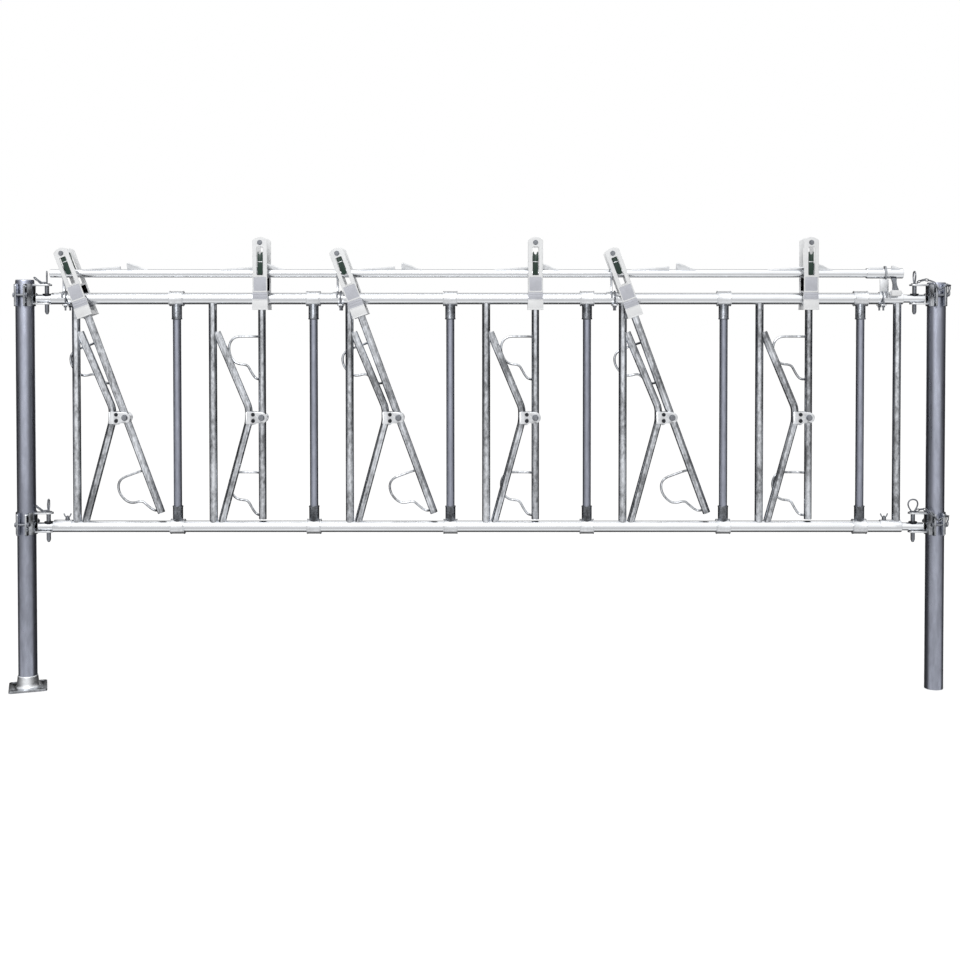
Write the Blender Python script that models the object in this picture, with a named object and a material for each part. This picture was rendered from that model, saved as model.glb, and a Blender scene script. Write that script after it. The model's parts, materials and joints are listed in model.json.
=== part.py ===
"""Calf headlock: six self-locking neck gaps in a frame of round tubes between two posts.

Metres, +X to the right, +Y away from the viewer, +Z up. The origin is on the floor, on the left post's axis.
Places 1, 3 and 5 are modelled with their locking arm tilted open, places 2, 4 and 6 with it locked upright.
"""

from math import acos, asin, cos, degrees, pi, radians, sin

import bmesh
import bpy
from mathutils import Matrix, Vector

# Clearances: between pieces that touch, and round a bolt that an arm turns on; depth of a welded joint
FIT = 0.0003
RUNNING_FIT = 0.0004
WELD = 0.0008

# Layout along X, in the order in which the pieces stand
RAIL_START_X = 0.090
START_TO_BRACKET = 0.040
START_TO_UPRIGHT = 0.078
UPRIGHT_TO_PIVOT = 0.162
PIVOT_TO_DIVIDER = 0.170
BAY_COUNT = 6
BAY_PITCH = 0.450
DIVIDER_TO_END_UPRIGHT = 0.121
END_UPRIGHT_TO_RAIL_END = 0.017
RAIL_END_TO_POST = 0.112
OPEN_PLACES = (1, 3, 5)

# Heights
BOTTOM_RAIL_Z = 0.537
RAIL_SPACING = 0.752
PIVOT_ABOVE_RAIL = 0.360
SHAFT_ABOVE_RAIL = 0.083
POST_TOP_Z = 1.337
LEFT_POST_EXTRA = 0.009

# Tube sections: post, rail, 26.9 mm bar for uprights, dividers, shaft and rail ends, 25 mm arm and strut
POST_RADIUS = 0.03015
POST_WALL = 0.0032
RAIL_RADIUS = 0.0190
RAIL_WALL = 0.0030
BAR_RADIUS = 0.01345
BAR_WALL = 0.0026
ARM_RADIUS = 0.0125
ARM_WALL = 0.0025

# Post foot and caps
BASE_SIDE = 0.120
BASE_THICKNESS = 0.008
BASE_HOLE_RADIUS = 0.006
BASE_HOLE_INSET = 0.015
BASE_TURN = radians(19)
DRAIN_RADIUS = 0.004
DRAIN_OFFSET = 0.016
COLLAR_HEIGHT = 0.036
COLLAR_TOP_WALL = 0.0016
COLLAR_FOOT_WALL = 0.0055
CAP_THICKNESS = 0.005
CAP_CHAMFER = 0.0017

# Post clamps and drop pins
CLAMP_BELOW_RAIL = 0.025
CLAMP_ABOVE_RAIL = 0.048
CLAMP_WALL = 0.0050
CLAMP_SPLIT = 0.022
EAR_THICKNESS = 0.006
EAR_LENGTH = 0.0166
CLAMP_BOLT_RADIUS = 0.005
LUG_THICKNESS = 0.0055
LUG_HALF_WIDTH = 0.0165
LUG_ROOT_SHARE = 0.4
PIN_FROM_POST = 0.0725
PIN_RADIUS = 0.007
PIN_TAPER_LENGTH = 0.008
PIN_BELOW_LUG = 0.033
PIN_ABOVE_LUG = 0.002
PIN_RING_WIDTH = 0.038
PIN_RING_HEIGHT = 0.040
PIN_RING_ROD = 0.0025
PIN_RING_SHAPE = ((0.74, 0.30), (1.0, 0.60), (0.74, 0.88))
PIN_RING_TURNS = {"top_left": 108, "bottom_left": 100, "top_right": 85, "bottom_right": 15}
WASHER_RADIUS = 0.014
WASHER_THICKNESS = 0.003
END_TUBE_LENGTH = 0.200
END_TUBE_TO_CLAMP = 0.0045

# Tee fittings that hold the divider bars
TEE_LENGTH = 0.0465
TEE_WALL = 0.0048
SOCKET_WALL = 0.0031
SOCKET_REACH = 0.0685

# Neck struts, as points from the pivot
STRUT_OFFSET = 0.0445
STRUT_UPPER_BEND = 0.032
STRUT_LOWER_BEND = 0.012
STRUT_TOP = 0.281
STRUT_FOOT_SPREAD = 0.1392
STRUT_BEND_LENGTH = 0.008

# Pivot clamp plates and their bolts
PLATE_THICKNESS = 0.004
PLATE_END = 0.0085
PLATE_HALF_HEIGHT = 0.020
PLATE_LOBE_RADIUS = 0.018
PLATE_LOBE_STEP = 0.002
PLATE_TAB_DROP = 0.004
PLATE_TAB_LEFT = 0.008
PLATE_TAB_SLOPE = 0.007
PLATE_TAB_RIGHT = 0.005
PIVOT_BOLT_RADIUS = 0.005
PLATE_BOLT_RADIUS = 0.003
PLATE_BOLT_HEIGHT = 0.0105
PLATE_BOLT_GAP = 0.001

# Locking arms and their guard loops, whose bows are shares of the loop's reach and height
OPEN_ANGLE = radians(20.2)
ARM_END_GAP = 0.005
LOOP_ROD = 0.004
LOOP_REACH = 0.115
LOOP_HEIGHT = 0.141
LOOP_OFFSET = 0.0205
LOOP_ROOT_TURN = 39.3
LOOP_ROOT_RUN = 0.016
LOOP_FOOT_RUN = 0.012
LOOP_BOWS = (
    (0.78, 0.0),
    (0.94, 0.10),
    (1.0, 0.30),
    (0.91, 0.53),
    (0.74, 0.65),
    (0.46, 0.66),
    (0.37, 0.80),
    (0.27, 0.94),
)
UPPER_LOOP_TOP = 0.267
LOWER_LOOP_TOP = -0.183

# Heads, with heights from the top rail's axis
HEAD_GAP = 0.0335
CHEEK_THICKNESS = 0.0045
HEAD_HALF_WIDTH = 0.024
CUP_HALF_WIDTH = 0.025
FLANGE_HALF_WIDTH = 0.026
HEAD_BOTTOM = -0.037
CUP_TOP = -0.003
BAND_TOP = 0.022
BAND_DEPTH = 0.0012
WINDOW_BOTTOM = 0.076
WINDOW_HALF_WIDTH = 0.0105
BRIDGE_HEIGHT = 0.014
BRIDGE_HALF_WIDTH = 0.020
TOP_BOLT_GAP = 0.0015
TOP_BOLT_RADIUS = 0.004
HEAD_TOP_ABOVE_BOLT = 0.0183
HEAD_TOP_RADIUS = 0.032
WINDOW_BELOW_BOLT = 0.0132
CROSS_BOLT_RADIUS = 0.003

# Pawls, with heights from the control shaft's axis
PAWL_HALF_THICKNESS = 0.0085
PAWL_LEG_WIDTH = 0.004
PAWL_LEG_BOTTOM = -0.006
PAWL_BODY_BOTTOM = 0.037
PAWL_TOP = 0.061
PAWL_EAR_TOP = 0.070
PAWL_SLOT_PLAY = 0.001
NOSE_HALF_WIDTH = 0.005
NOSE_TIP_HALF = 0.003
NOSE_HALF_THICKNESS = 0.008
NOSE_TAPER = 0.0072
NOSE_CLEARANCE = 0.00035

# Control shaft, its ramps, collars and lever; the ramps' corners are shares of their length and rise
SHAFT_LEAN = radians(35)
SHAFT_OVERHANG = 0.005
RAMP_HALF_THICKNESS = 0.0025
NOTCH_HALF_WIDTH = 0.011
LONG_RAMP_START = 0.138
LONG_RAMP_TIP = 0.0269
SHORT_RAMP_END = 0.077
SHORT_RAMP_TIP = 0.0403
LONG_RAMP_KNEE = (1.8, 0.91)
SHORT_RAMP_SHAPE = ((0.0, 0.90), (0.10, 1.0), (0.21, 0.84), (0.52, 0.54), (0.74, 0.20))
RAMP_EDGE = 0.0006
COLLAR_WALL = 0.0031
SLEEVE_LENGTH = 0.0585
HUB_LENGTH = 0.0545
COLLAR_FIN = ((0.004, 0.002), (0.012, 0.005), (0.0535, 0.006))
HUB_FIN = ((0.014, 0.012), (0.020, 0.012), (0.0445, 0.001))
COLLAR_PLAY = 0.0005
NECK_HALF_WIDTH = 0.010
NECK_ROOT_SHARE = 0.7
NECK_FOOT_SHARE = 0.2
NECK_STATIONS = ((0, 1.0, 0.004), (0.45, 0.75, 0.003), (0.8, 0.75, 0.003), (1, 1.1, 0.005))
KNOB_PLACE_SHARE = 0.42
KNOB_WIDTH = 0.032
KNOB_DEPTH = 0.026
KNOB_HEIGHT = 0.020
KNOB_FORWARD = 0.036
KNOB_BELOW = 0.066

# Shaft brackets, U-bolts, rail saddles and wing bolts
BRACKET_THICKNESS = 0.006
BRACKET_FOOT_HALF = 0.026
BRACKET_FOOT_START = 0.003
BRACKET_FOOT_HEIGHT = 0.010
BRACKET_WEB_HALF = 0.009
BRACKET_WEB_START = 0.023
BRACKET_EYE_DROP = 0.021
BRACKET_HEAD_HALF = 0.018
BRACKET_CORNER = 0.008
PANEL_LEFT = 0.018
PANEL_RIGHT = 0.010
PANEL_BELOW_SHAFT = 0.0185
PANEL_BACK = 0.0045
PANEL_THICKNESS = 0.005
BRACKET_ABOVE_SHAFT = 0.024
SHELL_WALL = 0.0025
SHELL_BEHIND = 0.016
SHELL_AHEAD = 0.020
SHELL_SKIRT = 0.001
UBOLT_OFFSET = 0.011
UBOLT_ROD = 0.003
UBOLT_NUT_RADIUS = 0.0055
UBOLT_NUT_HEIGHT = 0.006
UBOLT_TAIL = 0.010
UBOLT_CHAMFER = 0.0005
STRAP_THICKNESS = 0.004
STRAP_HALF_LENGTH = 0.010
SADDLE_WALL = 0.003
SADDLE_START = 0.002
LEFT_SADDLE_LENGTH = 0.060
RIGHT_SADDLE_LENGTH = 0.068
SCREW_RADIUS = 0.0037
SCREW_NUT_HEIGHT = 0.009
SCREW_NUT_SHARE = 1.9
SCREW_NUT_TAPER = 0.85
LEFT_SCREW_X = 0.045
RIGHT_SCREW_X = 0.056
WING_HEIGHT = 0.022
WING_ROOT_SHARE = 0.6
WING_HALF_SPAN = 0.014
WING_THICKNESS = 0.003

# Proportions of a bolt's head and nut to its radius
BOLT_HEAD_SHARE = 1.75
BOLT_HEIGHT_SHARE = 1.3

# Fineness of the round shapes; a hole round a turning piece has its flats outside that piece's circle
POST_SIDES = 16
RAIL_SIDES = 12
TUBE_SIDES = 8
ROD_SIDES = 6
SMOOTH_ANGLE = radians(50)

# Places worked out from the sizes above
FIRST_UPRIGHT_X = RAIL_START_X + START_TO_UPRIGHT
FIRST_PIVOT_X = FIRST_UPRIGHT_X + UPRIGHT_TO_PIVOT
FIRST_DIVIDER_X = FIRST_PIVOT_X + PIVOT_TO_DIVIDER
LAST_BAY = (BAY_COUNT - 1) * BAY_PITCH
END_UPRIGHT_X = FIRST_DIVIDER_X + LAST_BAY + DIVIDER_TO_END_UPRIGHT
RAIL_END_X = END_UPRIGHT_X + END_UPRIGHT_TO_RAIL_END
RIGHT_POST_X = RAIL_END_X + RAIL_END_TO_POST
TOP_RAIL_Z = BOTTOM_RAIL_Z + RAIL_SPACING
PIVOT_Z = BOTTOM_RAIL_Z + PIVOT_ABOVE_RAIL
RAIL_ABOVE_PIVOT = RAIL_SPACING - PIVOT_ABOVE_RAIL
SHAFT_ABOVE_PIVOT = RAIL_ABOVE_PIVOT + SHAFT_ABOVE_RAIL
SHAFT_Z = TOP_RAIL_Z + SHAFT_ABOVE_RAIL
NOSE_R = SHAFT_ABOVE_PIVOT + BAR_RADIUS + NOSE_CLEARANCE
PAWL_LIFT = (NOSE_R + NOSE_TIP_HALF * sin(OPEN_ANGLE)) / cos(OPEN_ANGLE) - NOSE_R
TOP_BOLT_HEIGHT = SHAFT_ABOVE_RAIL + PAWL_TOP + PAWL_LIFT + TOP_BOLT_GAP + TOP_BOLT_RADIUS
HEAD_ROUND_CENTRE = TOP_BOLT_HEIGHT + HEAD_TOP_ABOVE_BOLT - HEAD_TOP_RADIUS
WINDOW_TOP = TOP_BOLT_HEIGHT - WINDOW_BELOW_BOLT
LEFT_BRACKETS = BAY_COUNT // 2

ALONG_X = Matrix.Rotation(pi / 2, 4, "Y")
ALONG_Y = Matrix.Rotation(-pi / 2, 4, "X")
MIRROR_X = Matrix.Scale(-1, 4, (1, 0, 0))
MIRROR_Y = Matrix.Scale(-1, 4, (0, 1, 0))


def at(x, y, z):
    """Matrix that moves a mesh to a place."""
    return Matrix.Translation((x, y, z))


def material(name, colour, roughness, metallic):
    """Principled material with an sRGB colour written as six hex digits."""
    made = bpy.data.materials.new(name)
    made.use_nodes = True
    shader = made.node_tree.nodes["Principled BSDF"]
    channels = [int(colour[i:i + 2], 16) / 255 for i in (0, 2, 4)]
    linear = [c / 12.92 if c <= 0.04045 else ((c + 0.055) / 1.055) ** 2.4 for c in channels]
    shader.inputs["Base Color"].default_value = (*linear, 1)
    shader.inputs["Roughness"].default_value = roughness
    shader.inputs["Metallic"].default_value = metallic
    made.diffuse_color = (*linear, 1)
    return made


def mesh_from(bm, name):
    """Mesh with outward faces from a bmesh, which is freed."""
    bmesh.ops.recalc_face_normals(bm, faces=bm.faces)
    mesh = bpy.data.meshes.new(name)
    bm.to_mesh(mesh)
    bm.free()
    return mesh


def circle(radius, sides, z=0.0):
    """Corners of a regular polygon about Z, the first on +X."""
    step = 2 * pi / sides
    return [Vector((radius * cos(i * step), radius * sin(i * step), z)) for i in range(sides)]


def arc(centre_a, centre_b, radius, start, end, steps):
    """Points of an arc in a plane outline, with both ends, angles in degrees."""
    angles = [radians(start + (end - start) * i / steps) for i in range(steps + 1)]
    return [(centre_a + radius * cos(t), centre_b + radius * sin(t)) for t in angles]


def loft(name, rings, closed=False):
    """Skin over rings of points: its ends are capped, or closed joins the last ring to the first."""
    bm = bmesh.new()
    loops = [[bm.verts.new(point) for point in ring] for ring in rings]
    pairs = list(zip(loops, loops[1:]))
    if closed:
        pairs.append((loops[-1], loops[0]))
    else:
        bm.faces.new(reversed(loops[0]))
        bm.faces.new(loops[-1])
    for low, high in pairs:
        for i in range(len(low)):
            j = (i + 1) % len(low)
            bm.faces.new((low[i], low[j], high[j], high[i]))
    return mesh_from(bm, name)


def rod(name, profile, sides):
    """Solid of revolution about Z from (height, radius) pairs."""
    return loft(name, [circle(radius, sides, z) for z, radius in profile])


def tube(name, outer, bore, low, high, sides):
    """Tube along Z, open at both ends."""
    profile = ((low, outer), (high, outer), (high, bore), (low, bore))
    return loft(name, [circle(radius, sides, z) for z, radius in profile], closed=True)


def prism(name, outline, low, high, axis):
    """Outline in the plane across an axis, extruded along that axis."""
    place = {
        "X": lambda a, b: (low, a, b),
        "Y": lambda a, b: (a, low, b),
        "Z": lambda a, b: (a, b, low),
    }[axis]
    travel = {"X": (high - low, 0, 0), "Y": (0, high - low, 0), "Z": (0, 0, high - low)}[axis]
    bm = bmesh.new()
    face = bm.faces.new([bm.verts.new(place(a, b)) for a, b in outline])
    grown = bmesh.ops.extrude_face_region(bm, geom=[face], use_keep_orig=True)
    corners = [item for item in grown["geom"] if isinstance(item, bmesh.types.BMVert)]
    bmesh.ops.translate(bm, vec=travel, verts=corners)
    return mesh_from(bm, name)


def box(name, low, high):
    """Box between two opposite corners."""
    outline = ((low[0], low[1]), (high[0], low[1]), (high[0], high[1]), (low[0], high[1]))
    return prism(name, outline, low[2], high[2], "Z")


def sweep_rings(path, radii, sides, side):
    """Rings of a round section carried along a path, mitred at its corners."""
    points = [Vector(point) for point in path]
    runs = [(b - a).normalized() for a, b in zip(points, points[1:])]
    other = runs[0].cross(Vector(side)).normalized()
    first = other.cross(runs[0]).normalized()
    spokes = [first * corner.x + other * corner.y for corner in circle(1.0, sides)]
    rings = []
    for i, centre in enumerate(points):
        before = runs[max(i - 1, 0)]
        normal = (before + runs[min(i, len(runs) - 1)]).normalized()
        spokes = [spoke - before * (spoke.dot(normal) / before.dot(normal)) for spoke in spokes]
        rings.append([centre + spoke * radii[i] for spoke in spokes])
    return rings


def wire(name, path, radius, sides, side):
    """Solid rod of one radius along a path."""
    return loft(name, sweep_rings(path, [radius] * len(path), sides, side))


def bent_tube(name, path, outer, bore, sides, side):
    """Open tube along a path."""
    outside = sweep_rings(path, [outer] * len(path), sides, side)
    inside = sweep_rings(path, [bore] * len(path), sides, side)
    return loft(name, outside + inside[::-1], closed=True)


def bolt(name, radius, grip):
    """Hexagon bolt along Z, its head just below zero and its nut just beyond the grip."""
    head = radius * BOLT_HEAD_SHARE
    height = radius * BOLT_HEIGHT_SHARE
    profile = (
        (-height, head),
        (WELD / 2, head),
        (WELD / 2, radius),
        (grip - WELD / 2, radius),
        (grip - WELD / 2, head),
        (grip + height, head),
    )
    return rod(name, profile, ROD_SIDES)


def moved(mesh, *matrices):
    """Copy of a mesh, moved by each matrix in turn from the last to the first."""
    copy = mesh.copy()
    for matrix in matrices[::-1]:
        copy.transform(matrix)
        if matrix.determinant() < 0:
            copy.flip_normals()
    return copy


def boolean(mesh, tool, operation="DIFFERENCE"):
    """Mesh after one exact Boolean with the mesh of a cutter or an added piece."""
    body = bpy.data.objects.new("body", mesh)
    cutter = bpy.data.objects.new("cutter", tool)
    cutter.hide_render = True
    cutter.display_type = "WIRE"
    for item in (body, cutter):
        bpy.context.scene.collection.objects.link(item)
    modifier = body.modifiers.new("boolean", "BOOLEAN")
    modifier.operation = operation
    modifier.solver = "EXACT"
    modifier.object = cutter
    graph = bpy.context.evaluated_depsgraph_get()
    result = bpy.data.meshes.new_from_object(body.evaluated_get(graph))
    result.name = mesh.name
    for item in (body, cutter):
        bpy.data.objects.remove(item)
    return result


def join(mesh, *added):
    """Union of a mesh with each added one in turn."""
    for piece in added:
        mesh = boolean(mesh, piece, "UNION")
    return mesh


def cut(mesh, *cutters):
    """Mesh less each cutter in turn."""
    for cutter in cutters:
        mesh = boolean(mesh, cutter)
    return mesh


def hole(x, z, radius, reach, sides=ROD_SIDES):
    """Cutter along Y through a place in the panel's plane."""
    cutter = rod("hole", ((-reach, radius), (reach, radius)), sides)
    cutter.transform(at(x, 0, z) @ ALONG_Y)
    return cutter


def add(name, mesh, look, parent=None, matrix=None):
    """Named object with its own material, smooth where its faces meet at a shallow angle."""
    mesh.shade_smooth()
    mesh.set_sharp_from_angle(angle=SMOOTH_ANGLE)
    made = bpy.data.objects.new(name, mesh)
    bpy.context.scene.collection.objects.link(made)
    mesh.materials.clear()
    mesh.materials.append(look)
    made.parent = parent
    made.matrix_local = matrix or Matrix.Identity(4)
    return made


def empty(name, location, rotation):
    """Empty on a joint's axis, which carries the pieces that move about it."""
    made = bpy.data.objects.new(name, None)
    bpy.context.scene.collection.objects.link(made)
    made.location = location
    made.rotation_euler = rotation
    return made


def bays(first_x):
    """X of a piece that repeats at each place."""
    return [first_x + k * BAY_PITCH for k in range(BAY_COUNT)]


def rail_cutter(radius, z):
    """Cutter with a rail's facets, along X through a piece near the Z axis."""
    reach = BAY_PITCH
    cutter = rod("rail_cutter", ((-reach, radius), (reach, radius)), RAIL_SIDES)
    return moved(cutter, at(0, 0, z), ALONG_X)


def post_mesh(name, low, top):
    """Post along Z, open below, with a chamfered cap on top."""
    bore = POST_RADIUS - POST_WALL
    profile = (
        (top, bore),
        (low, bore),
        (low, POST_RADIUS),
        (top, POST_RADIUS),
        (top + CAP_THICKNESS, POST_RADIUS - CAP_CHAMFER),
    )
    return rod(name, profile, POST_SIDES)


def make_posts(steel):
    """Left post welded into its bolted foot plate, with a drain hole, and the plain right post."""
    right = post_mesh("right_post", 0, POST_TOP_Z)
    add("right_post", right, steel, matrix=at(RIGHT_POST_X, 0, 0))
    half = BASE_SIDE / 2
    turn = Matrix.Rotation(BASE_TURN, 4, "Z")
    plate = moved(box("plate", (-half, -half, 0), (half, half, BASE_THICKNESS)), turn)
    inner = POST_RADIUS - WELD
    low = BASE_THICKNESS - WELD
    high = BASE_THICKNESS + COLLAR_HEIGHT
    foot_radius = POST_RADIUS + COLLAR_FOOT_WALL
    top_radius = POST_RADIUS + COLLAR_TOP_WALL
    collar_profile = ((low, foot_radius), (high, top_radius), (high, inner), (low, inner))
    rings = [circle(radius, POST_SIDES, z) for z, radius in collar_profile]
    collar = loft("collar", rings, closed=True)
    post = join(post_mesh("left_post", low, POST_TOP_Z + LEFT_POST_EXTRA), collar, plate)
    reach = ((-WELD, BASE_HOLE_RADIUS), (BASE_THICKNESS + WELD, BASE_HOLE_RADIUS))
    anchor = rod("anchor_hole", reach, TUBE_SIDES)
    inset = half - BASE_HOLE_INSET
    holes = [moved(anchor, turn, at(x, y, 0)) for x in (-inset, inset) for y in (-inset, inset)]
    drain = rod("drain", [(z, DRAIN_RADIUS) for z, radius in reach], TUBE_SIDES)
    holes.append(moved(drain, at(DRAIN_OFFSET, 0, 0)))
    add("left_post", cut(post, *holes), steel)


def clamp_half():
    """Half shell round a post, on its +X side, with an ear at the front and one at the back."""
    inner_steps = 6
    outer_steps = 5
    face = CLAMP_SPLIT / 2
    outside = POST_RADIUS + FIT + CLAMP_WALL
    reach = acos(face / (POST_RADIUS + FIT))
    bore = (POST_RADIUS + FIT) / cos(reach / inner_steps)
    turn = degrees(acos(face / bore))
    ear_turn = degrees(acos((face + EAR_THICKNESS) / outside))
    ear_end = outside + EAR_LENGTH
    outline = (
        arc(0, 0, bore, -turn, turn, inner_steps)
        + [(face, ear_end), (face + EAR_THICKNESS, ear_end)]
        + arc(0, 0, outside, ear_turn, -ear_turn, outer_steps)
        + [(face + EAR_THICKNESS, -ear_end), (face, -ear_end)]
    )
    return prism("clamp_half", outline, -CLAMP_BELOW_RAIL, CLAMP_ABOVE_RAIL, "Z")


def pin_drill():
    """Cutter for a drop pin's hole, which clears the pin at any turn, in the left clamp's frame."""
    radius = (PIN_RADIUS + FIT) / cos(pi / TUBE_SIDES)
    drill = rod("pin_drill", ((-RAIL_RADIUS, radius), (RAIL_RADIUS, radius)), TUBE_SIDES)
    return moved(drill, at(PIN_FROM_POST, 0, 0))


def clamp_lug():
    """Flat lug from the clamp's wall to round the drop pin, its top at zero."""
    root = POST_RADIUS + FIT + CLAMP_WALL * LUG_ROOT_SHARE
    turn = degrees(asin(LUG_HALF_WIDTH / root))
    outline = arc(0, 0, root, turn, -turn, 3) + arc(PIN_FROM_POST, 0, LUG_HALF_WIDTH, -90, 90, 6)
    lug = prism("lug", outline, -LUG_THICKNESS, 0, "Z")
    return cut(lug, pin_drill())


def corners():
    """Names of the panel's four corners, each with the matrix from the left clamp's own frame."""
    found = {}
    for level, z in (("top", TOP_RAIL_Z), ("bottom", BOTTOM_RAIL_Z)):
        found[level + "_left"] = at(0, 0, z)
        found[level + "_right"] = at(RIGHT_POST_X, 0, z) @ MIRROR_X
    return found


def make_post_clamps(zinc):
    """Clamp of two bolted halves round each post at each rail, with two lugs for the drop pin."""
    half = clamp_half()
    upper = moved(clamp_lug(), at(0, 0, CLAMP_ABOVE_RAIL - WELD))
    lower = moved(clamp_lug(), at(0, 0, -BAR_RADIUS - FIT))
    grip = CLAMP_SPLIT + 2 * EAR_THICKNESS
    screw = bolt("screw", CLAMP_BOLT_RADIUS, grip)
    ear_y = POST_RADIUS + FIT + CLAMP_WALL + EAR_LENGTH / 2
    middle = CLAMP_ABOVE_RAIL - (CLAMP_BELOW_RAIL + CLAMP_ABOVE_RAIL) / 2
    screws = [moved(screw, at(-grip / 2, y, middle), ALONG_X) for y in (-ear_y, ear_y)]
    clamp = join(half, upper, lower, moved(half, MIRROR_X), *screws)
    for name, place in corners().items():
        add("post_clamp_" + name, moved(clamp, place), zinc)


def pin_mesh():
    """Drop pin with a tapered tip and a bent wire ring on top, from the rail's axis height."""
    top = CLAMP_ABOVE_RAIL + PIN_ABOVE_LUG
    tip = -BAR_RADIUS - FIT - LUG_THICKNESS - PIN_BELOW_LUG
    profile = ((tip, PIN_RADIUS / 2), (tip + PIN_TAPER_LENGTH, PIN_RADIUS), (top, PIN_RADIUS))
    shank = rod("drop_pin", profile, TUBE_SIDES)
    half = PIN_RING_WIDTH / 2
    high = PIN_RING_HEIGHT
    root = (PIN_RADIUS / 2, -PIN_RING_ROD)
    side = [root] + [(half * out, high * up) for out, up in PIN_RING_SHAPE]
    outline = [(-x, z) for x, z in side] + [(0, high)] + side[::-1]
    path = [(x, 0, top + z) for x, z in outline]
    return join(shank, wire("ring", path, PIN_RING_ROD, ROD_SIDES, (0, 1, 0)))


def make_pins(steel):
    """Four drop pins, each lifting on its own."""
    mesh = pin_mesh()
    for name, place in corners().items():
        x, y, z = place @ Vector((PIN_FROM_POST, 0, 0))
        turn = Matrix.Rotation(radians(PIN_RING_TURNS[name]), 4, "Z")
        add("drop_pin_" + name, mesh, steel, matrix=at(x, y, z) @ turn)


def half_round(outer, low, high):
    """Solid over the upper half of a rail on the X axis, with the rail's facets and a short skirt."""
    over = arc(0, 0, outer, 0, 180, RAIL_SIDES // 2)
    outline = [(outer, -SHELL_SKIRT)] + over + [(-outer, -SHELL_SKIRT)]
    return prism("half_round", outline, low, high, "X")


def wing_screw():
    """Wing screw down through a saddle and a rail on the X axis, to just above the end tube."""
    seat = (RAIL_RADIUS + SADDLE_WALL) * cos(pi / RAIL_SIDES)
    nut = SCREW_RADIUS * SCREW_NUT_SHARE
    nut_top = seat + SCREW_NUT_HEIGHT
    profile = (
        (BAR_RADIUS + FIT, SCREW_RADIUS),
        (seat, SCREW_RADIUS),
        (seat, nut),
        (nut_top, nut * SCREW_NUT_TAPER),
        (nut_top, SCREW_RADIUS),
        (nut_top + SCREW_RADIUS, SCREW_RADIUS),
    )
    root = seat + SCREW_NUT_HEIGHT / 3
    top = seat + WING_HEIGHT
    tip = WING_THICKNESS
    wing = [(nut * WING_ROOT_SHARE, root), (WING_HALF_SPAN, top - tip), (WING_HALF_SPAN, top)]
    wing += [(WING_HALF_SPAN - tip, top), (tip / 3, root + tip)]
    outline = wing + [(-x, z) for x, z in wing[::-1]]
    wings = prism("wings", outline, -WING_THICKNESS / 2, WING_THICKNESS / 2, "Y")
    return join(rod("wing_screw", profile, ROD_SIDES), wings)


def make_rails(zinc, steel):
    """Top rail, bottom rail with a saddle and wing screw near each end, and the four end tubes."""
    rail = tube("rail", RAIL_RADIUS, RAIL_RADIUS - RAIL_WALL, RAIL_START_X, RAIL_END_X, RAIL_SIDES)
    rail.transform(ALONG_X)
    add("top_rail", moved(rail, at(0, 0, TOP_RAIL_Z)), zinc)
    left = RAIL_START_X + SADDLE_START
    right = RAIL_END_X - SADDLE_START
    screw = wing_screw()
    outer = RAIL_RADIUS + SADDLE_WALL
    reach = ((0, RAIL_RADIUS - RAIL_WALL), (RIGHT_POST_X, RAIL_RADIUS - RAIL_WALL))
    whole = rod("rail", ((RAIL_START_X, RAIL_RADIUS), (RAIL_END_X, RAIL_RADIUS)), RAIL_SIDES)
    saddled = join(
        moved(whole, ALONG_X),
        half_round(outer, left, left + LEFT_SADDLE_LENGTH),
        half_round(outer, right - RIGHT_SADDLE_LENGTH, right),
    )
    bottom = join(
        cut(saddled, moved(rod("bore", reach, RAIL_SIDES), ALONG_X)),
        moved(screw, at(RAIL_START_X + LEFT_SCREW_X, 0, 0)),
        moved(screw, at(RAIL_END_X - RIGHT_SCREW_X, 0, 0)),
    )
    add("bottom_rail", moved(bottom, at(0, 0, BOTTOM_RAIL_Z)), zinc)

    start = POST_RADIUS + FIT + CLAMP_WALL + END_TUBE_TO_CLAMP
    end = start + END_TUBE_LENGTH
    end_tube = tube("end_tube", BAR_RADIUS, BAR_RADIUS - BAR_WALL, start, end, TUBE_SIDES)
    end_tube.transform(ALONG_X)
    washer_reach = (BAR_RADIUS - WELD, BAR_RADIUS + WASHER_THICKNESS)
    washer = rod("washer", [(z, WASHER_RADIUS) for z in washer_reach], TUBE_SIDES)
    washer.transform(at(PIN_FROM_POST, 0, 0))
    drilled = cut(join(end_tube, washer), pin_drill())
    for name, place in corners().items():
        add("rail_end_tube_" + name, moved(drilled, place), steel)


def make_dividers(steel):
    """Divider bar at each place, with a tee fitting on each rail; its bore opens onto the rails."""
    outside = RAIL_RADIUS + FIT + TEE_WALL
    reach = TEE_LENGTH / 2
    levels = (BOTTOM_RAIL_Z, TOP_RAIL_Z)
    low, high = BOTTOM_RAIL_Z + SOCKET_REACH, TOP_RAIL_Z - SOCKET_REACH
    socket = BAR_RADIUS + SOCKET_WALL
    profile = (
        (BOTTOM_RAIL_Z, socket),
        (low, socket),
        (low, BAR_RADIUS),
        (high, BAR_RADIUS),
        (high, socket),
        (TOP_RAIL_Z, socket),
    )
    sleeve = moved(rod("sleeve", ((-reach, outside), (reach, outside)), RAIL_SIDES), ALONG_X)
    whole = join(rod("divider", profile, TUBE_SIDES), *[moved(sleeve, at(0, 0, z)) for z in levels])
    bore = rod("bore", [(z, BAR_RADIUS - BAR_WALL) for z in levels], TUBE_SIDES)
    rails = [rail_cutter(RAIL_RADIUS + FIT, z) for z in levels]
    whole = cut(whole, bore, *rails)
    for place, x in enumerate(bays(FIRST_DIVIDER_X), start=1):
        add(f"divider_{place}", moved(whole, at(x, 0, 0)), steel)


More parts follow.
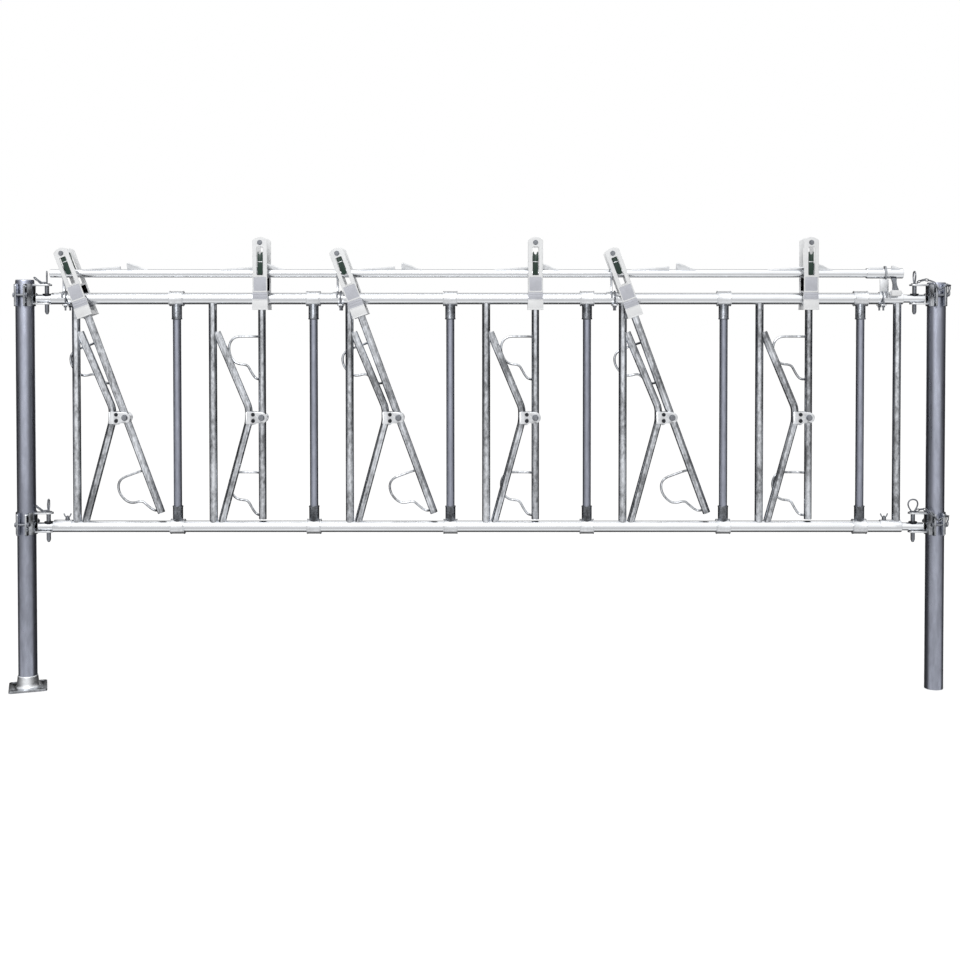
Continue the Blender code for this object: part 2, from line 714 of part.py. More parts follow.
def strut_mesh():
    """Neck strut from the upright down past the pivot to the bottom rail, from the pivot."""
    top = Vector((-(UPRIGHT_TO_PIVOT - BAR_RADIUS), 0, STRUT_TOP))
    upper = Vector((-STRUT_OFFSET, 0, STRUT_UPPER_BEND))
    lower = Vector((-STRUT_OFFSET, 0, -STRUT_LOWER_BEND))
    foot = Vector((-STRUT_FOOT_SPREAD, 0, -PIVOT_ABOVE_RAIL))
    path = [top]
    for before, bend, after in ((top, upper, lower), (upper, lower, foot)):
        path.append(bend + (before - bend).normalized() * STRUT_BEND_LENGTH)
        path.append(bend + (after - bend).normalized() * STRUT_BEND_LENGTH)
    path.append(foot)
    strut = bent_tube("strut", path, ARM_RADIUS, ARM_RADIUS - ARM_WALL, TUBE_SIDES, (0, 1, 0))
    reach = (-PIVOT_ABOVE_RAIL, RAIL_ABOVE_PIVOT)
    upright = rod("upright", [(z, BAR_RADIUS - WELD) for z in reach], TUBE_SIDES)
    return cut(strut, moved(upright, at(-UPRIGHT_TO_PIVOT, 0, 0)))


def make_neck_frames(steel):
    """Upright with its welded neck strut at each place, and a plain upright at the right end."""
    bar = tube("upright", BAR_RADIUS, BAR_RADIUS - BAR_WALL, BOTTOM_RAIL_Z, TOP_RAIL_Z, TUBE_SIDES)
    strut = moved(strut_mesh(), at(UPRIGHT_TO_PIVOT, 0, PIVOT_Z))
    frame = cut(
        join(bar, strut),
        rail_cutter(RAIL_RADIUS + FIT, TOP_RAIL_Z),
        rail_cutter(RAIL_RADIUS + FIT, BOTTOM_RAIL_Z),
    )
    for place, x in enumerate(bays(FIRST_UPRIGHT_X), start=1):
        add(f"neck_frame_{place}", moved(frame, at(x, 0, 0)), steel)
    end = cut(
        bar,
        rail_cutter(RAIL_RADIUS + FIT, TOP_RAIL_Z),
        rail_cutter(RAIL_RADIUS + SADDLE_WALL + FIT, BOTTOM_RAIL_Z),
    )
    add("end_upright", moved(end, at(END_UPRIGHT_X, 0, 0)), steel)


def make_pivot_clamps(zinc):
    """Clamp of two plates across the strut at each place, with its two bolts and the arm's pivot bolt."""
    left = -(STRUT_OFFSET + PLATE_END)
    half = PLATE_HALF_HEIGHT
    lobe = PLATE_LOBE_RADIUS
    waist = -(STRUT_OFFSET - ARM_RADIUS)
    tab = waist - PLATE_TAB_LEFT
    tab_foot = -half - PLATE_TAB_DROP
    outline = (
        [(left, -half), (tab, -half), (tab + PLATE_TAB_SLOPE, tab_foot)]
        + [(waist + PLATE_TAB_RIGHT, tab_foot), (-lobe - PLATE_LOBE_STEP, -lobe)]
        + arc(0, 0, lobe, -90, 90, 6)
        + [(-lobe, half), (left, half)]
    )
    near = ARM_RADIUS + FIT
    plate = prism("plate", outline, -near - PLATE_THICKNESS, -near, "Y")
    grip = 2 * (near + PLATE_THICKNESS)
    pivot = moved(bolt("pivot", PIVOT_BOLT_RADIUS, grip), at(0, -grip / 2, 0), ALONG_Y)
    screw = bolt("screw", PLATE_BOLT_RADIUS, grip)
    bolt_x = waist + PLATE_BOLT_GAP + PLATE_BOLT_RADIUS
    heights = (-PLATE_BOLT_HEIGHT, PLATE_BOLT_HEIGHT)
    screws = [moved(screw, at(bolt_x, -grip / 2, z), ALONG_Y) for z in heights]
    clamp = join(plate, pivot, *screws, moved(plate, MIRROR_Y))
    for place, x in enumerate(bays(FIRST_PIVOT_X), start=1):
        add(f"pivot_clamp_{place}", moved(clamp, at(x, 0, PIVOT_Z)), zinc)


def cross_bolt_height():
    """Height of the head's cross bolt from the pivot."""
    return RAIL_ABOVE_PIVOT + HEAD_BOTTOM + BRIDGE_HEIGHT / 2


def loop_mesh(top):
    """Guard loop behind the neck strut: out from the arm, down in two bows and back to the arm."""
    root = Vector((ARM_RADIUS - ARM_WALL + WELD / 2, 0, 0))
    root.rotate(Matrix.Rotation(radians(LOOP_ROOT_TURN), 3, "Z"))
    back = LOOP_OFFSET
    high = LOOP_HEIGHT
    route = (
        [(root.x, root.y, 0), (root.x + LOOP_ROOT_RUN, back, 0)]
        + [(LOOP_REACH * out, back, high * down) for out, down in LOOP_BOWS]
        + [(root.x + LOOP_FOOT_RUN, back, high), (root.x, root.y, high)]
    )
    path = [(-x, y, top - drop) for x, y, drop in route]
    return wire("loop", path, LOOP_ROD, ROD_SIDES, (0, 0, 1))


def arm_mesh():
    """Arm tube with its two welded guard loops, drilled for the pivot bolt and the head's cross bolt."""
    low = -(PIVOT_ABOVE_RAIL - RAIL_RADIUS - ARM_END_GAP)
    high = RAIL_ABOVE_PIVOT - RAIL_RADIUS - ARM_END_GAP
    bar = tube("arm", ARM_RADIUS, ARM_RADIUS - ARM_WALL, low, high, TUBE_SIDES)
    running = (PIVOT_BOLT_RADIUS + RUNNING_FIT) / cos(pi / TUBE_SIDES)
    pivot = hole(0, 0, running, ARM_RADIUS * 2, TUBE_SIDES)
    cross = hole(0, cross_bolt_height(), CROSS_BOLT_RADIUS + FIT, ARM_RADIUS * 2)
    return join(cut(bar, pivot, cross), loop_mesh(UPPER_LOOP_TOP), loop_mesh(LOWER_LOOP_TOP))


def head_half_mesh():
    """Front half of a head in the arm's frame: cheek with a window, band, cup and bridge to the arm."""
    rail = RAIL_ABOVE_PIVOT
    bottom = rail + HEAD_BOTTOM
    cup_top = rail + CUP_TOP
    wide, cup, half = FLANGE_HALF_WIDTH, CUP_HALF_WIDTH, HEAD_HALF_WIDTH
    side = [(wide, bottom), (cup, cup_top), (half, cup_top)]
    shoulder = degrees(acos(half / HEAD_TOP_RADIUS))
    crown = arc(0, rail + HEAD_ROUND_CENTRE, HEAD_TOP_RADIUS, shoulder, 180 - shoulder, 6)
    outline = [(-x, z) for x, z in side[::-1]] + side + crown
    face = -(HEAD_GAP + CHEEK_THICKNESS)
    cheek = prism("head", outline, face, -HEAD_GAP, "Y")
    past = CHEEK_THICKNESS
    band_corner = (wide + past, face + BAND_DEPTH, rail + BAND_TOP)
    band = box("band", (-wide - past, face - past, cup_top), band_corner)
    side = WINDOW_HALF_WIDTH
    low, high = rail + WINDOW_BOTTOM, rail + WINDOW_TOP
    window = box("window", (-side, face - past, low), (side, past - HEAD_GAP, high))
    wing = BRIDGE_HALF_WIDTH
    foot = bottom + WELD
    bridge = box("bridge", (-wing, -HEAD_GAP - WELD, foot), (wing, WELD, foot + BRIDGE_HEIGHT))
    return join(cut(cheek, band, window), bridge)


def head_mesh():
    """Head of two like halves, bored for the arm, with its top bolt and the cross bolt through the arm."""
    half = head_half_mesh()
    bottom = RAIL_ABOVE_PIVOT + HEAD_BOTTOM
    reach = BRIDGE_HEIGHT * 2
    bore = rod("bore", [(z, ARM_RADIUS + FIT) for z in (bottom - reach, bottom + reach)], TUBE_SIDES)
    face = HEAD_GAP + CHEEK_THICKNESS
    top_bolt = bolt("top_bolt", TOP_BOLT_RADIUS, 2 * face)
    cross_bolt = bolt("cross_bolt", CROSS_BOLT_RADIUS, 2 * face)
    return join(
        cut(join(half, moved(half, MIRROR_Y)), bore),
        moved(top_bolt, at(0, -face, RAIL_ABOVE_PIVOT + TOP_BOLT_HEIGHT), ALONG_Y),
        moved(cross_bolt, at(0, -face, cross_bolt_height()), ALONG_Y),
    )


def pawl_mesh():
    """Sliding catch between the cheeks: two legs, two ears slotted for the top bolt, and a nose."""
    shaft = SHAFT_ABOVE_PIVOT
    half = HEAD_GAP - FIT
    leg = half - PAWL_LEG_WIDTH
    body = shaft + PAWL_BODY_BOTTOM
    foot = shaft + PAWL_LEG_BOTTOM
    top = shaft + PAWL_TOP
    ear = shaft + PAWL_EAR_TOP
    outline = [(-half, foot), (-leg, foot), (-leg, body), (leg, body), (leg, foot), (half, foot)]
    outline += [(half, ear), (leg, ear), (leg, top), (-leg, top), (-leg, ear), (-half, ear)]
    slot = TOP_BOLT_RADIUS + PAWL_SLOT_PLAY
    notch = box("notch", (-slot, -HEAD_GAP, top), (slot, HEAD_GAP, ear + PAWL_SLOT_PLAY))
    trident = cut(prism("pawl", outline, -PAWL_HALF_THICKNESS, PAWL_HALF_THICKNESS, "X"), notch)
    wide = NOSE_HALF_THICKNESS
    high = (body + top) / 2
    nose = [(-NOSE_TIP_HALF, NOSE_R), (NOSE_TIP_HALF, NOSE_R), (wide, NOSE_R + NOSE_TAPER), (wide, high)]
    nose += [(-wide, high), (-wide, NOSE_R + NOSE_TAPER)]
    return join(trident, prism("nose", nose, -NOSE_HALF_WIDTH, NOSE_HALF_WIDTH, "Y"))


def make_arms(steel, plastic, dark):
    """Locking arm with its head and pawl at each place, carried by an empty on the pivot."""
    arm = arm_mesh()
    head = head_mesh()
    pawl = pawl_mesh()
    for place, x in enumerate(bays(FIRST_PIVOT_X), start=1):
        is_open = place in OPEN_PLACES
        pivot = empty(f"arm_{place}_pivot", (x, 0, PIVOT_Z), (0, -OPEN_ANGLE if is_open else 0, 0))
        add(f"arm_{place}", arm, steel, pivot)
        add(f"head_{place}", head, plastic, pivot)
        add(f"pawl_{place}", pawl, dark, pivot, at(0, 0, PAWL_LIFT if is_open else 0))


def ramp_meshes():
    """Long and short ramp of one place, from the arm's X and the shaft's axis, standing up."""
    base = BAR_RADIUS
    root = BAR_RADIUS - BAR_WALL / 2
    notch = NOTCH_HALF_WIDTH
    long_outline = [
        (-notch, root),
        (-notch, LONG_RAMP_TIP),
        (-notch * LONG_RAMP_KNEE[0], LONG_RAMP_TIP * LONG_RAMP_KNEE[1]),
        (-LONG_RAMP_START, base + RAMP_EDGE),
        (-LONG_RAMP_START, root),
    ]
    rise = SHORT_RAMP_TIP - base
    length = SHORT_RAMP_END - notch
    short_outline = (
        [(notch, root)]
        + [(notch + length * along, base + rise * up) for along, up in SHORT_RAMP_SHAPE]
        + [(SHORT_RAMP_END, base + RAMP_EDGE), (SHORT_RAMP_END, root)]
    )
    half = RAMP_HALF_THICKNESS
    return [prism("ramp", outline, -half, half, "Y") for outline in (long_outline, short_outline)]


def collar_mesh(name, bore, length, fin):
    """Collar along the X axis from zero, with one small fin on top, given as (x, height) pairs."""
    outer = BAR_RADIUS + FIT + COLLAR_WALL
    ring = moved(tube(name, outer, bore, 0, length, RAIL_SIDES), ALONG_X)
    root = outer - COLLAR_WALL / 2
    outline = [(fin[0][0], root)] + [(x, outer + height) for x, height in fin] + [(fin[-1][0], root)]
    return join(ring, prism("fin", outline, -RAMP_HALF_THICKNESS, RAMP_HALF_THICKNESS, "Y"))


def lever_neck():
    """Flat waisted neck of the lever, hanging forward from the hub, about X zero and the shaft's axis."""
    root = Vector((0, -BAR_RADIUS * NECK_ROOT_SHARE, -BAR_RADIUS - FIT - COLLAR_WALL / 2))
    foot_y = KNOB_DEPTH * NECK_FOOT_SHARE - KNOB_FORWARD
    foot = Vector((0, foot_y, FIT + KNOB_HEIGHT / 2 - KNOB_BELOW))
    rings = []
    for share, width, y in NECK_STATIONS:
        centre = root.lerp(foot, share)
        x = NECK_HALF_WIDTH * width
        corners = ((-x, -y, 0), (x, -y, 0), (x, y, 0), (-x, y, 0))
        rings.append([centre + Vector(corner) for corner in corners])
    return loft("neck", rings)


def make_shaft(zinc, plastic):
    """Control shaft with a pair of welded ramps at each place and a collar, and the lever on its end."""
    carrier = empty("shaft_axis", (0, 0, SHAFT_Z), (SHAFT_LEAN, 0, 0))
    start = RAIL_START_X - SHAFT_OVERHANG
    shaft = tube("release_shaft", BAR_RADIUS, BAR_RADIUS - BAR_WALL, start, RAIL_END_X, RAIL_SIDES)
    shaft.transform(ALONG_X)
    plate_x = bracket_places()[-1]
    beside = BRACKET_THICKNESS / 2 + COLLAR_PLAY
    collar = collar_mesh("collar", BAR_RADIUS - WELD, SLEEVE_LENGTH, COLLAR_FIN)
    ramps = ramp_meshes()
    pieces = [moved(ramp, at(x, 0, 0)) for x in bays(FIRST_PIVOT_X) for ramp in ramps]
    pieces.append(moved(collar, at(plate_x - beside - SLEEVE_LENGTH, 0, 0)))
    add("release_shaft", join(shaft, *pieces), zinc, carrier)

    world = Matrix.Rotation(-SHAFT_LEAN, 4, "X")
    hub = collar_mesh("release_lever", BAR_RADIUS + FIT, HUB_LENGTH, HUB_FIN)
    knob_x = HUB_LENGTH * KNOB_PLACE_SHARE
    neck = moved(lever_neck(), world, at(knob_x, 0, 0))
    hub_x = plate_x + beside
    add("release_lever", join(hub, neck), zinc, carrier, at(hub_x, 0, 0))
    middle = Vector((0, -KNOB_FORWARD, -KNOB_BELOW))
    corner = Vector((KNOB_WIDTH, KNOB_DEPTH, KNOB_HEIGHT)) / 2
    knob = box("lever_knob", middle - corner, middle + corner)
    add("lever_knob", knob, plastic, carrier, world @ at(hub_x + knob_x, 0, 0))


def bracket_places():
    """X of each shaft bracket's plate, the last one beside the lever's hub, which ends with the rail."""
    first = RAIL_START_X + START_TO_BRACKET
    places = [first + 2 * k * BAY_PITCH for k in range(LEFT_BRACKETS)]
    return places + [RAIL_END_X - HUB_LENGTH - COLLAR_PLAY - BRACKET_THICKNESS / 2]


def ubolt_mesh():
    """U-bolt over the bracket's shell, welded to it here, with a nut below the strap on each leg."""
    leg = RAIL_RADIUS + FIT + SHELL_WALL + UBOLT_ROD - 2 * WELD
    seat = WELD - (RAIL_RADIUS + FIT + STRAP_THICKNESS)
    chamfer = UBOLT_CHAMFER
    low = seat - UBOLT_NUT_HEIGHT
    nut, thread = UBOLT_NUT_RADIUS, UBOLT_ROD
    stations = (
        (low - UBOLT_TAIL, thread),
        (low - chamfer, thread),
        (low, nut),
        (seat - chamfer, nut),
        (seat, thread),
    )
    up = [(0, leg, z) for z, radius in stations]
    down = [(0, -leg, z) for z, radius in stations[::-1]]
    over = [(0, y, z) for y, z in arc(0, 0, leg, 0, 180, RAIL_SIDES // 2)]
    legs = [radius for z, radius in stations]
    radii = legs + [thread] * len(over) + legs[::-1]
    return loft("ubolt", sweep_rings(up + over + down, radii, ROD_SIDES, (1, 0, 0)))


def bracket_mesh():
    """Plate and shell over the rail, U-bolt and strap under it, bored for the turning shaft."""
    foot, head = BRACKET_FOOT_HALF, BRACKET_HEAD_HALF
    low = BRACKET_FOOT_START
    top = SHAFT_ABOVE_RAIL + BRACKET_ABOVE_SHAFT
    shoulder = top - BRACKET_ABOVE_SHAFT / 2
    side = [
        (foot, low),
        (foot, low + BRACKET_FOOT_HEIGHT),
        (BRACKET_WEB_HALF, BRACKET_WEB_START),
        (BRACKET_WEB_HALF, SHAFT_ABOVE_RAIL - BRACKET_EYE_DROP),
        (head, SHAFT_ABOVE_RAIL - BAR_RADIUS),
        (head, shoulder),
        (head - BRACKET_CORNER, top),
    ]
    outline = side + [(-y, z) for y, z in side[::-1]]
    half = BRACKET_THICKNESS / 2
    plate = prism("bracket", outline, -half, half, "X")
    running = (BAR_RADIUS + FIT) / cos(pi / RAIL_SIDES)
    drill = moved(rod("drill", ((-foot, running), (foot, running)), RAIL_SIDES), ALONG_X)
    shell = half_round(RAIL_RADIUS + FIT + SHELL_WALL, -SHELL_BEHIND, SHELL_AHEAD)
    rail = rail_cutter(RAIL_RADIUS + FIT, 0)
    drilled = cut(join(plate, shell), rail, moved(drill, at(0, 0, SHAFT_ABOVE_RAIL)))
    reach = RAIL_RADIUS + FIT + SHELL_WALL + UBOLT_ROD + UBOLT_NUT_RADIUS
    strap_top = -(RAIL_RADIUS + FIT)
    length = STRAP_HALF_LENGTH
    strap = box("strap", (-length, -reach, strap_top - STRAP_THICKNESS), (length, reach, strap_top))
    clamp = join(ubolt_mesh(), strap)
    return join(drilled, moved(clamp, at(UBOLT_OFFSET, 0, 0)))


def make_brackets(zinc):
    """Brackets that carry the shaft above the top rail; the last faces left and has a front panel."""
    bracket = bracket_mesh()
    front = -PANEL_BACK - PANEL_THICKNESS
    top = SHAFT_ABOVE_RAIL - PANEL_BELOW_SHAFT
    panel = box("panel", (-PANEL_RIGHT, front, RAIL_RADIUS), (PANEL_LEFT, -PANEL_BACK, top))
    meshes = [bracket] * LEFT_BRACKETS + [moved(join(bracket, panel), MIRROR_X)]
    for place, (x, mesh) in enumerate(zip(bracket_places(), meshes), start=1):
        add(f"shaft_bracket_{place}", moved(mesh, at(x, 0, TOP_RAIL_Z)), zinc)


def main():
    for old in list(bpy.data.objects):
        bpy.data.objects.remove(old)
    galvanised = material("galvanised_steel", "8E92A0", 0.45, 0.85)
    zinc = material("bright_zinc", "D5D8DE", 0.35, 0.85)
    bolt_steel = material("zinc_plated_bolts", "9A9CA2", 0.40, 0.90)
    plastic = material("moulded_head", "D0D3D6", 0.50, 0.0)
    dark = material("dark_green_catch", "12402F", 0.45, 0.0)
    make_posts(galvanised)
    make_post_clamps(zinc)
    make_pins(bolt_steel)
    make_rails(zinc, galvanised)
    make_dividers(galvanised)
    make_neck_frames(galvanised)
    make_pivot_clamps(zinc)
    make_arms(galvanised, plastic, dark)
    make_shaft(zinc, plastic)
    make_brackets(zinc)


main()
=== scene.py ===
"""Calf headlock of galvanised tubes: its visible pieces, materials, studio and camera.

Metres, +X to the right, +Y away from the viewer, +Z up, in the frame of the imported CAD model.
"""

import json
from math import acos, cos, pi, radians, sin

import bpy
from mathutils import Matrix, Vector

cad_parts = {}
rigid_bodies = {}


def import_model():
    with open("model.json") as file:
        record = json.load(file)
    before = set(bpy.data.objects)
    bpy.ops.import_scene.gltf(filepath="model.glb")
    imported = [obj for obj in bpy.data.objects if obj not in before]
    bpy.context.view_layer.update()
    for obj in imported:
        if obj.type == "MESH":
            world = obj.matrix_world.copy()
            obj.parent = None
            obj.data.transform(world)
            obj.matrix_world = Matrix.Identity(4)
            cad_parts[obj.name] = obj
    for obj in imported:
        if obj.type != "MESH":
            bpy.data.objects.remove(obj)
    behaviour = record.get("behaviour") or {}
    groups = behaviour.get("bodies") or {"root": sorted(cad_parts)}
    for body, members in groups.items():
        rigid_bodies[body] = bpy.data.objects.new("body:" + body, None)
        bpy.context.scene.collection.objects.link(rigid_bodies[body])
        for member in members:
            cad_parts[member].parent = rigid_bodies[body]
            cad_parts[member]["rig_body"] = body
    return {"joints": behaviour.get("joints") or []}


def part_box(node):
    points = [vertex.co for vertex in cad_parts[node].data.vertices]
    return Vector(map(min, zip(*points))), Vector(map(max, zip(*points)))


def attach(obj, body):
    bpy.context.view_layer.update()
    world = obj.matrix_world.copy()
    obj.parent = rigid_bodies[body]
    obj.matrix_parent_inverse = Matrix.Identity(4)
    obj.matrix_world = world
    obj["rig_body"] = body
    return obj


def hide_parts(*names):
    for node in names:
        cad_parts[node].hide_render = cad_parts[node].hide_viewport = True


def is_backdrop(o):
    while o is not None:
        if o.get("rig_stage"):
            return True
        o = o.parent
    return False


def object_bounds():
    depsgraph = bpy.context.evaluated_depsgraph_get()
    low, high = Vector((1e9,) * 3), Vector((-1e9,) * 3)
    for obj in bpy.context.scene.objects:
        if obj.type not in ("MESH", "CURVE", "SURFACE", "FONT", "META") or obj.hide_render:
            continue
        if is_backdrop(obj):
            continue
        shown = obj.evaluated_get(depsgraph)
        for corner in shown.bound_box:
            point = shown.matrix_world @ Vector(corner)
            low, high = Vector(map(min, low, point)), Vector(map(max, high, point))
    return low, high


bl_info = {
    "name": "Calf headlock",
    "version": (1, 0, 0),
    "blender": (4, 5, 0),
    "location": "3D View > Sidebar > Headlock",
    "description": "Builds the visible pieces of a feed-front headlock for calves",
    "category": "Object",
}

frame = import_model()
CAD_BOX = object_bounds()

PLACES = range(1, 7)
JOINTS = {joint["name"]: joint for joint in frame["joints"]}
ALONG_X = Matrix.Rotation(pi / 2, 4, "Y")
ALONG_Y = Matrix.Rotation(-pi / 2, 4, "X")
MIRROR_X = Matrix.Scale(-1, 4, (1, 0, 0))
MIRROR_Y = Matrix.Scale(-1, 4, (0, 1, 0))


def linear(code):
    """Linear colour from sRGB written as six hex digits."""
    channels = [int(code[i:i + 2], 16) / 255 for i in (0, 2, 4)]
    return [c / 12.92 if c <= 0.04045 else ((c + 0.055) / 1.055) ** 2.4 for c in channels]


def middle(node):
    """Centre of a CAD node's box."""
    low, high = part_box(node)
    return (low + high) / 2


def span(node, axis):
    """Length of a CAD node's box along one axis."""
    low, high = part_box(node)
    return high[axis] - low[axis]


TOP_RAIL = middle("top_rail")
RAIL_LOW, RAIL_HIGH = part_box("top_rail")
LEFT_POST = middle("left_post")
RIGHT_POST = middle("right_post")
PIVOTS = [Vector(JOINTS[f"arm_swing_{place}"]["pos_m"]) for place in PLACES]
SHAFT = Vector(JOINTS["release_turn"]["pos_m"])
RAIL_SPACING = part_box("drop_pin_top_left")[0].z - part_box("drop_pin_bottom_left")[0].z
BOTTOM_RAIL_Z = TOP_RAIL.z - RAIL_SPACING
RAIL_UP = TOP_RAIL.z - PIVOTS[0].z

OPEN_TILT = radians(20.2)
SHAFT_TILT = radians(35)
BASE_TURN = radians(19)
# how much higher the catch of an open arm stands, with its nose on the shaft
CATCH_LIFT = 0.0331388
# from a post's axis to its drop pins' axis
PIN_OUT = 0.0725
# clearance between pieces that touch
GAP = 0.0003


def size(name, text, default):
    """A length that a user can change."""
    return bpy.props.FloatProperty(
        name=name, description=text, default=default, min=0.0, unit="LENGTH", subtype="DISTANCE", precision=4
    )


def paint(name, text, code):
    """A colour that a user can change."""
    return bpy.props.FloatVectorProperty(
        name=name, description=text, default=linear(code), size=3, min=0.0, max=1.0, subtype="COLOR"
    )


class HeadlockSizes(bpy.types.PropertyGroup):
    """Sizes of the tubes and fittings"""

    post_radius: size("Post radius", "Outer radius of both posts", 0.03015)
    post_wall: size("Post wall", "Wall of both posts", 0.0032)
    rail_radius: size("Rail radius", "Outer radius of both rails", 0.0190)
    rail_wall: size("Rail wall", "Wall of both rails", 0.0030)
    bar_radius: size("Bar radius", "Outer radius of uprights, dividers, shaft and rail ends", 0.01345)
    bar_wall: size("Bar wall", "Wall of uprights, dividers, shaft and rail ends", 0.0026)
    arm_radius: size("Arm radius", "Outer radius of arms and struts", 0.0125)
    arm_wall: size("Arm wall", "Wall of arms", 0.0025)
    plate_side: size("Foot plate side", "Side of the square foot plate", 0.120)
    plate_thickness: size("Foot plate thickness", "Thickness of the foot plate", 0.008)
    clamp_wall: size("Clamp wall", "Thickness of the post clamps' shells", 0.0042)
    ear_gap: size("Ear gap", "Gap between a post clamp's ears", 0.022)
    ear_thickness: size("Ear thickness", "Thickness of a post clamp's ears", 0.006)
    pin_radius: size("Pin radius", "Radius of the drop pins", 0.007)
    ring_rod: size("Ring rod", "Radius of the wire of the pins' rings", 0.0025)
    loop_rod: size("Loop rod", "Radius of the guard loops' wire", 0.004)
    tee_wall: size("Tee wall", "Wall of the cast tees round the rail", 0.0048)
    cheek_gap: size("Cheek gap", "Half the gap between a head's cheeks", 0.0335)
    cheek_wall: size("Cheek wall", "Thickness of a head's cheeks", 0.0045)
    soft_edge: size("Edge", "Rounding of cut and cast edges", 0.0007)


class HeadlockColours(bpy.types.PropertyGroup):
    """Colours of the finishes"""

    post_steel: paint("Post steel", "Galvanised posts and dividers", "AAAEBC")
    bar_steel: paint("Bar steel", "Galvanised uprights, arms and struts", "CFD2D7")
    zinc: paint("Bright zinc", "Rails, shaft, brackets and clamps", "ECEEF1")
    cast_zinc: paint("Cast zinc", "Cast tees and saddles", "74777C")
    # duller galvanised grey, set darker than the bright zinc as painted shade on the clamps; the foot plate
    # and bracket plates share it
    black_bolts: paint("Dark bolts", "Bolts of the pivot clamps", "3A3C40")
    shaded_clamp_zinc: paint("Clamp zinc", "Post clamps and their lugs", "B4B7BC")
    plated_bolts: paint("Plated bolts", "Other bolts, nuts and pins", "8C8F95")
    head_plastic: paint("Head plastic", "Moulded heads and lever knob", "F0F1F2")
    # darker grey used on the heads' band, steps and inset panel
    band_plastic: paint("Band plastic", "Darker grey band and panel of the heads", "C8CAD2")
    catch_plastic: paint("Catch plastic", "Moulded catches", "0C3225")
    floor: paint("Floor", "Studio floor", "F4F4F4")


def deselect():
    """Object mode with nothing selected, because the loaded CAD nodes are left selected."""
    if bpy.context.mode != "OBJECT":
        bpy.ops.object.mode_set(mode="OBJECT")
    bpy.ops.object.select_all(action="DESELECT")


def choose(*objects):
    """Select only these objects, the first one active."""
    deselect()
    for item in objects:
        item.select_set(True)
    bpy.context.view_layer.objects.active = objects[0]


def outward(obj):
    """Merge doubles and point every face outwards."""
    choose(obj)
    bpy.ops.object.mode_set(mode="EDIT")
    bpy.ops.mesh.select_all(action="SELECT")
    bpy.ops.mesh.remove_doubles(threshold=1e-6)
    bpy.ops.mesh.normals_make_consistent(inside=False)
    bpy.ops.object.mode_set(mode="OBJECT")
    return obj


def turn(profile, sides=32, ring=False):
    """Turned solid about Z from (radius, height) stations, extruded one by one; ring joins its ends."""
    deselect()
    radius, height = profile[0]
    fill = "NOTHING" if ring else "NGON"
    bpy.ops.mesh.primitive_circle_add(vertices=sides, radius=radius, fill_type=fill, location=(0, 0, height))
    obj = bpy.context.object
    bpy.ops.object.mode_set(mode="EDIT")
    for next_radius, next_height in list(profile[1:]) + (list(profile[:1]) if ring else []):
        step = {"value": (0, 0, next_height - height)}
        bpy.ops.mesh.extrude_region_move(TRANSFORM_OT_translate=step)
        share = next_radius / radius
        bpy.ops.transform.resize(value=(share, share, 1), center_override=(0, 0, next_height))
        radius, height = next_radius, next_height
    bpy.ops.object.mode_set(mode="OBJECT")
    bpy.ops.object.transform_apply(location=True, rotation=True, scale=True)
    return outward(obj)


def pipe(outer, bore, low, high, sides=32):
    """Open tube along Z with its rims eased."""
    ease = min(0.0006, (outer - bore) / 4)
    profile = [(outer, low + ease), (outer, high - ease), (outer - ease, high), (bore, high)]
    return turn(profile + [(bore, low), (outer - ease, low)], sides, ring=True)


def rod(radius, low, high, sides=32):
    """Round bar or drill along Z."""
    return turn([(radius, low), (radius, high)], sides)


def slab(outline, low, high, axis="Z"):
    """Flat piece: a face given the outline's corners, then extruded along an axis."""
    deselect()
    bpy.ops.mesh.primitive_circle_add(vertices=len(outline), fill_type="NGON")
    obj = bpy.context.object
    for corner, (a, b) in zip(obj.data.vertices, outline):
        corner.co = {"X": (low, a, b), "Y": (a, low, b), "Z": (a, b, low)}[axis]
    step = [high - low if axis == name else 0 for name in "XYZ"]
    bpy.ops.object.mode_set(mode="EDIT")
    bpy.ops.mesh.select_all(action="SELECT")
    bpy.ops.mesh.extrude_region_move(TRANSFORM_OT_translate={"value": step})
    bpy.ops.object.mode_set(mode="OBJECT")
    return outward(obj)


def block(low, high):
    """Box between two corners, to be shaped further."""
    return slab([(low[0], low[1]), (high[0], low[1]), (high[0], high[1]), (low[0], high[1])], low[2], high[2])


def arc(centre_a, centre_b, radius, start, end, steps):
    """Points of an arc in a plane outline, both ends too, angles in degrees."""
    angles = [radians(start + (end - start) * i / steps) for i in range(steps + 1)]
    return [(centre_a + radius * cos(t), centre_b + radius * sin(t)) for t in angles]


def rounded(low, high, radius, steps=5):
    """Outline of a rectangle with round corners."""
    (a, b), (c, d) = low, high
    return (
        arc(c - radius, b + radius, radius, -90, 0, steps)
        + arc(c - radius, d - radius, radius, 0, 90, steps)
        + arc(a + radius, d - radius, radius, 90, 180, steps)
        + arc(a + radius, b + radius, radius, 180, 270, steps)
    )


def mirrored(side):
    """Outline closed by the mirror image of its right-hand side."""
    return side + [(-a, b) for a, b in side[::-1]]


def eased(points, radius, steps=5, closed=False):
    """Path with its corners rounded by quadratic curves that start a radius before each corner."""
    points = [Vector(point) for point in points]
    made = [] if closed else [points[0]]
    count = len(points)
    for i in range(0 if closed else 1, count if closed else count - 1):
        before, here, after = points[i - 1], points[i], points[(i + 1) % count]
        start = here + (before - here).normalized() * min(radius, (before - here).length / 2)
        end = here + (after - here).normalized() * min(radius, (after - here).length / 2)
        for k in range(steps + 1):
            t = k / steps
            made.append(start * (1 - t) ** 2 + here * 2 * t * (1 - t) + end * t ** 2)
    return made if closed else made + [points[-1]]


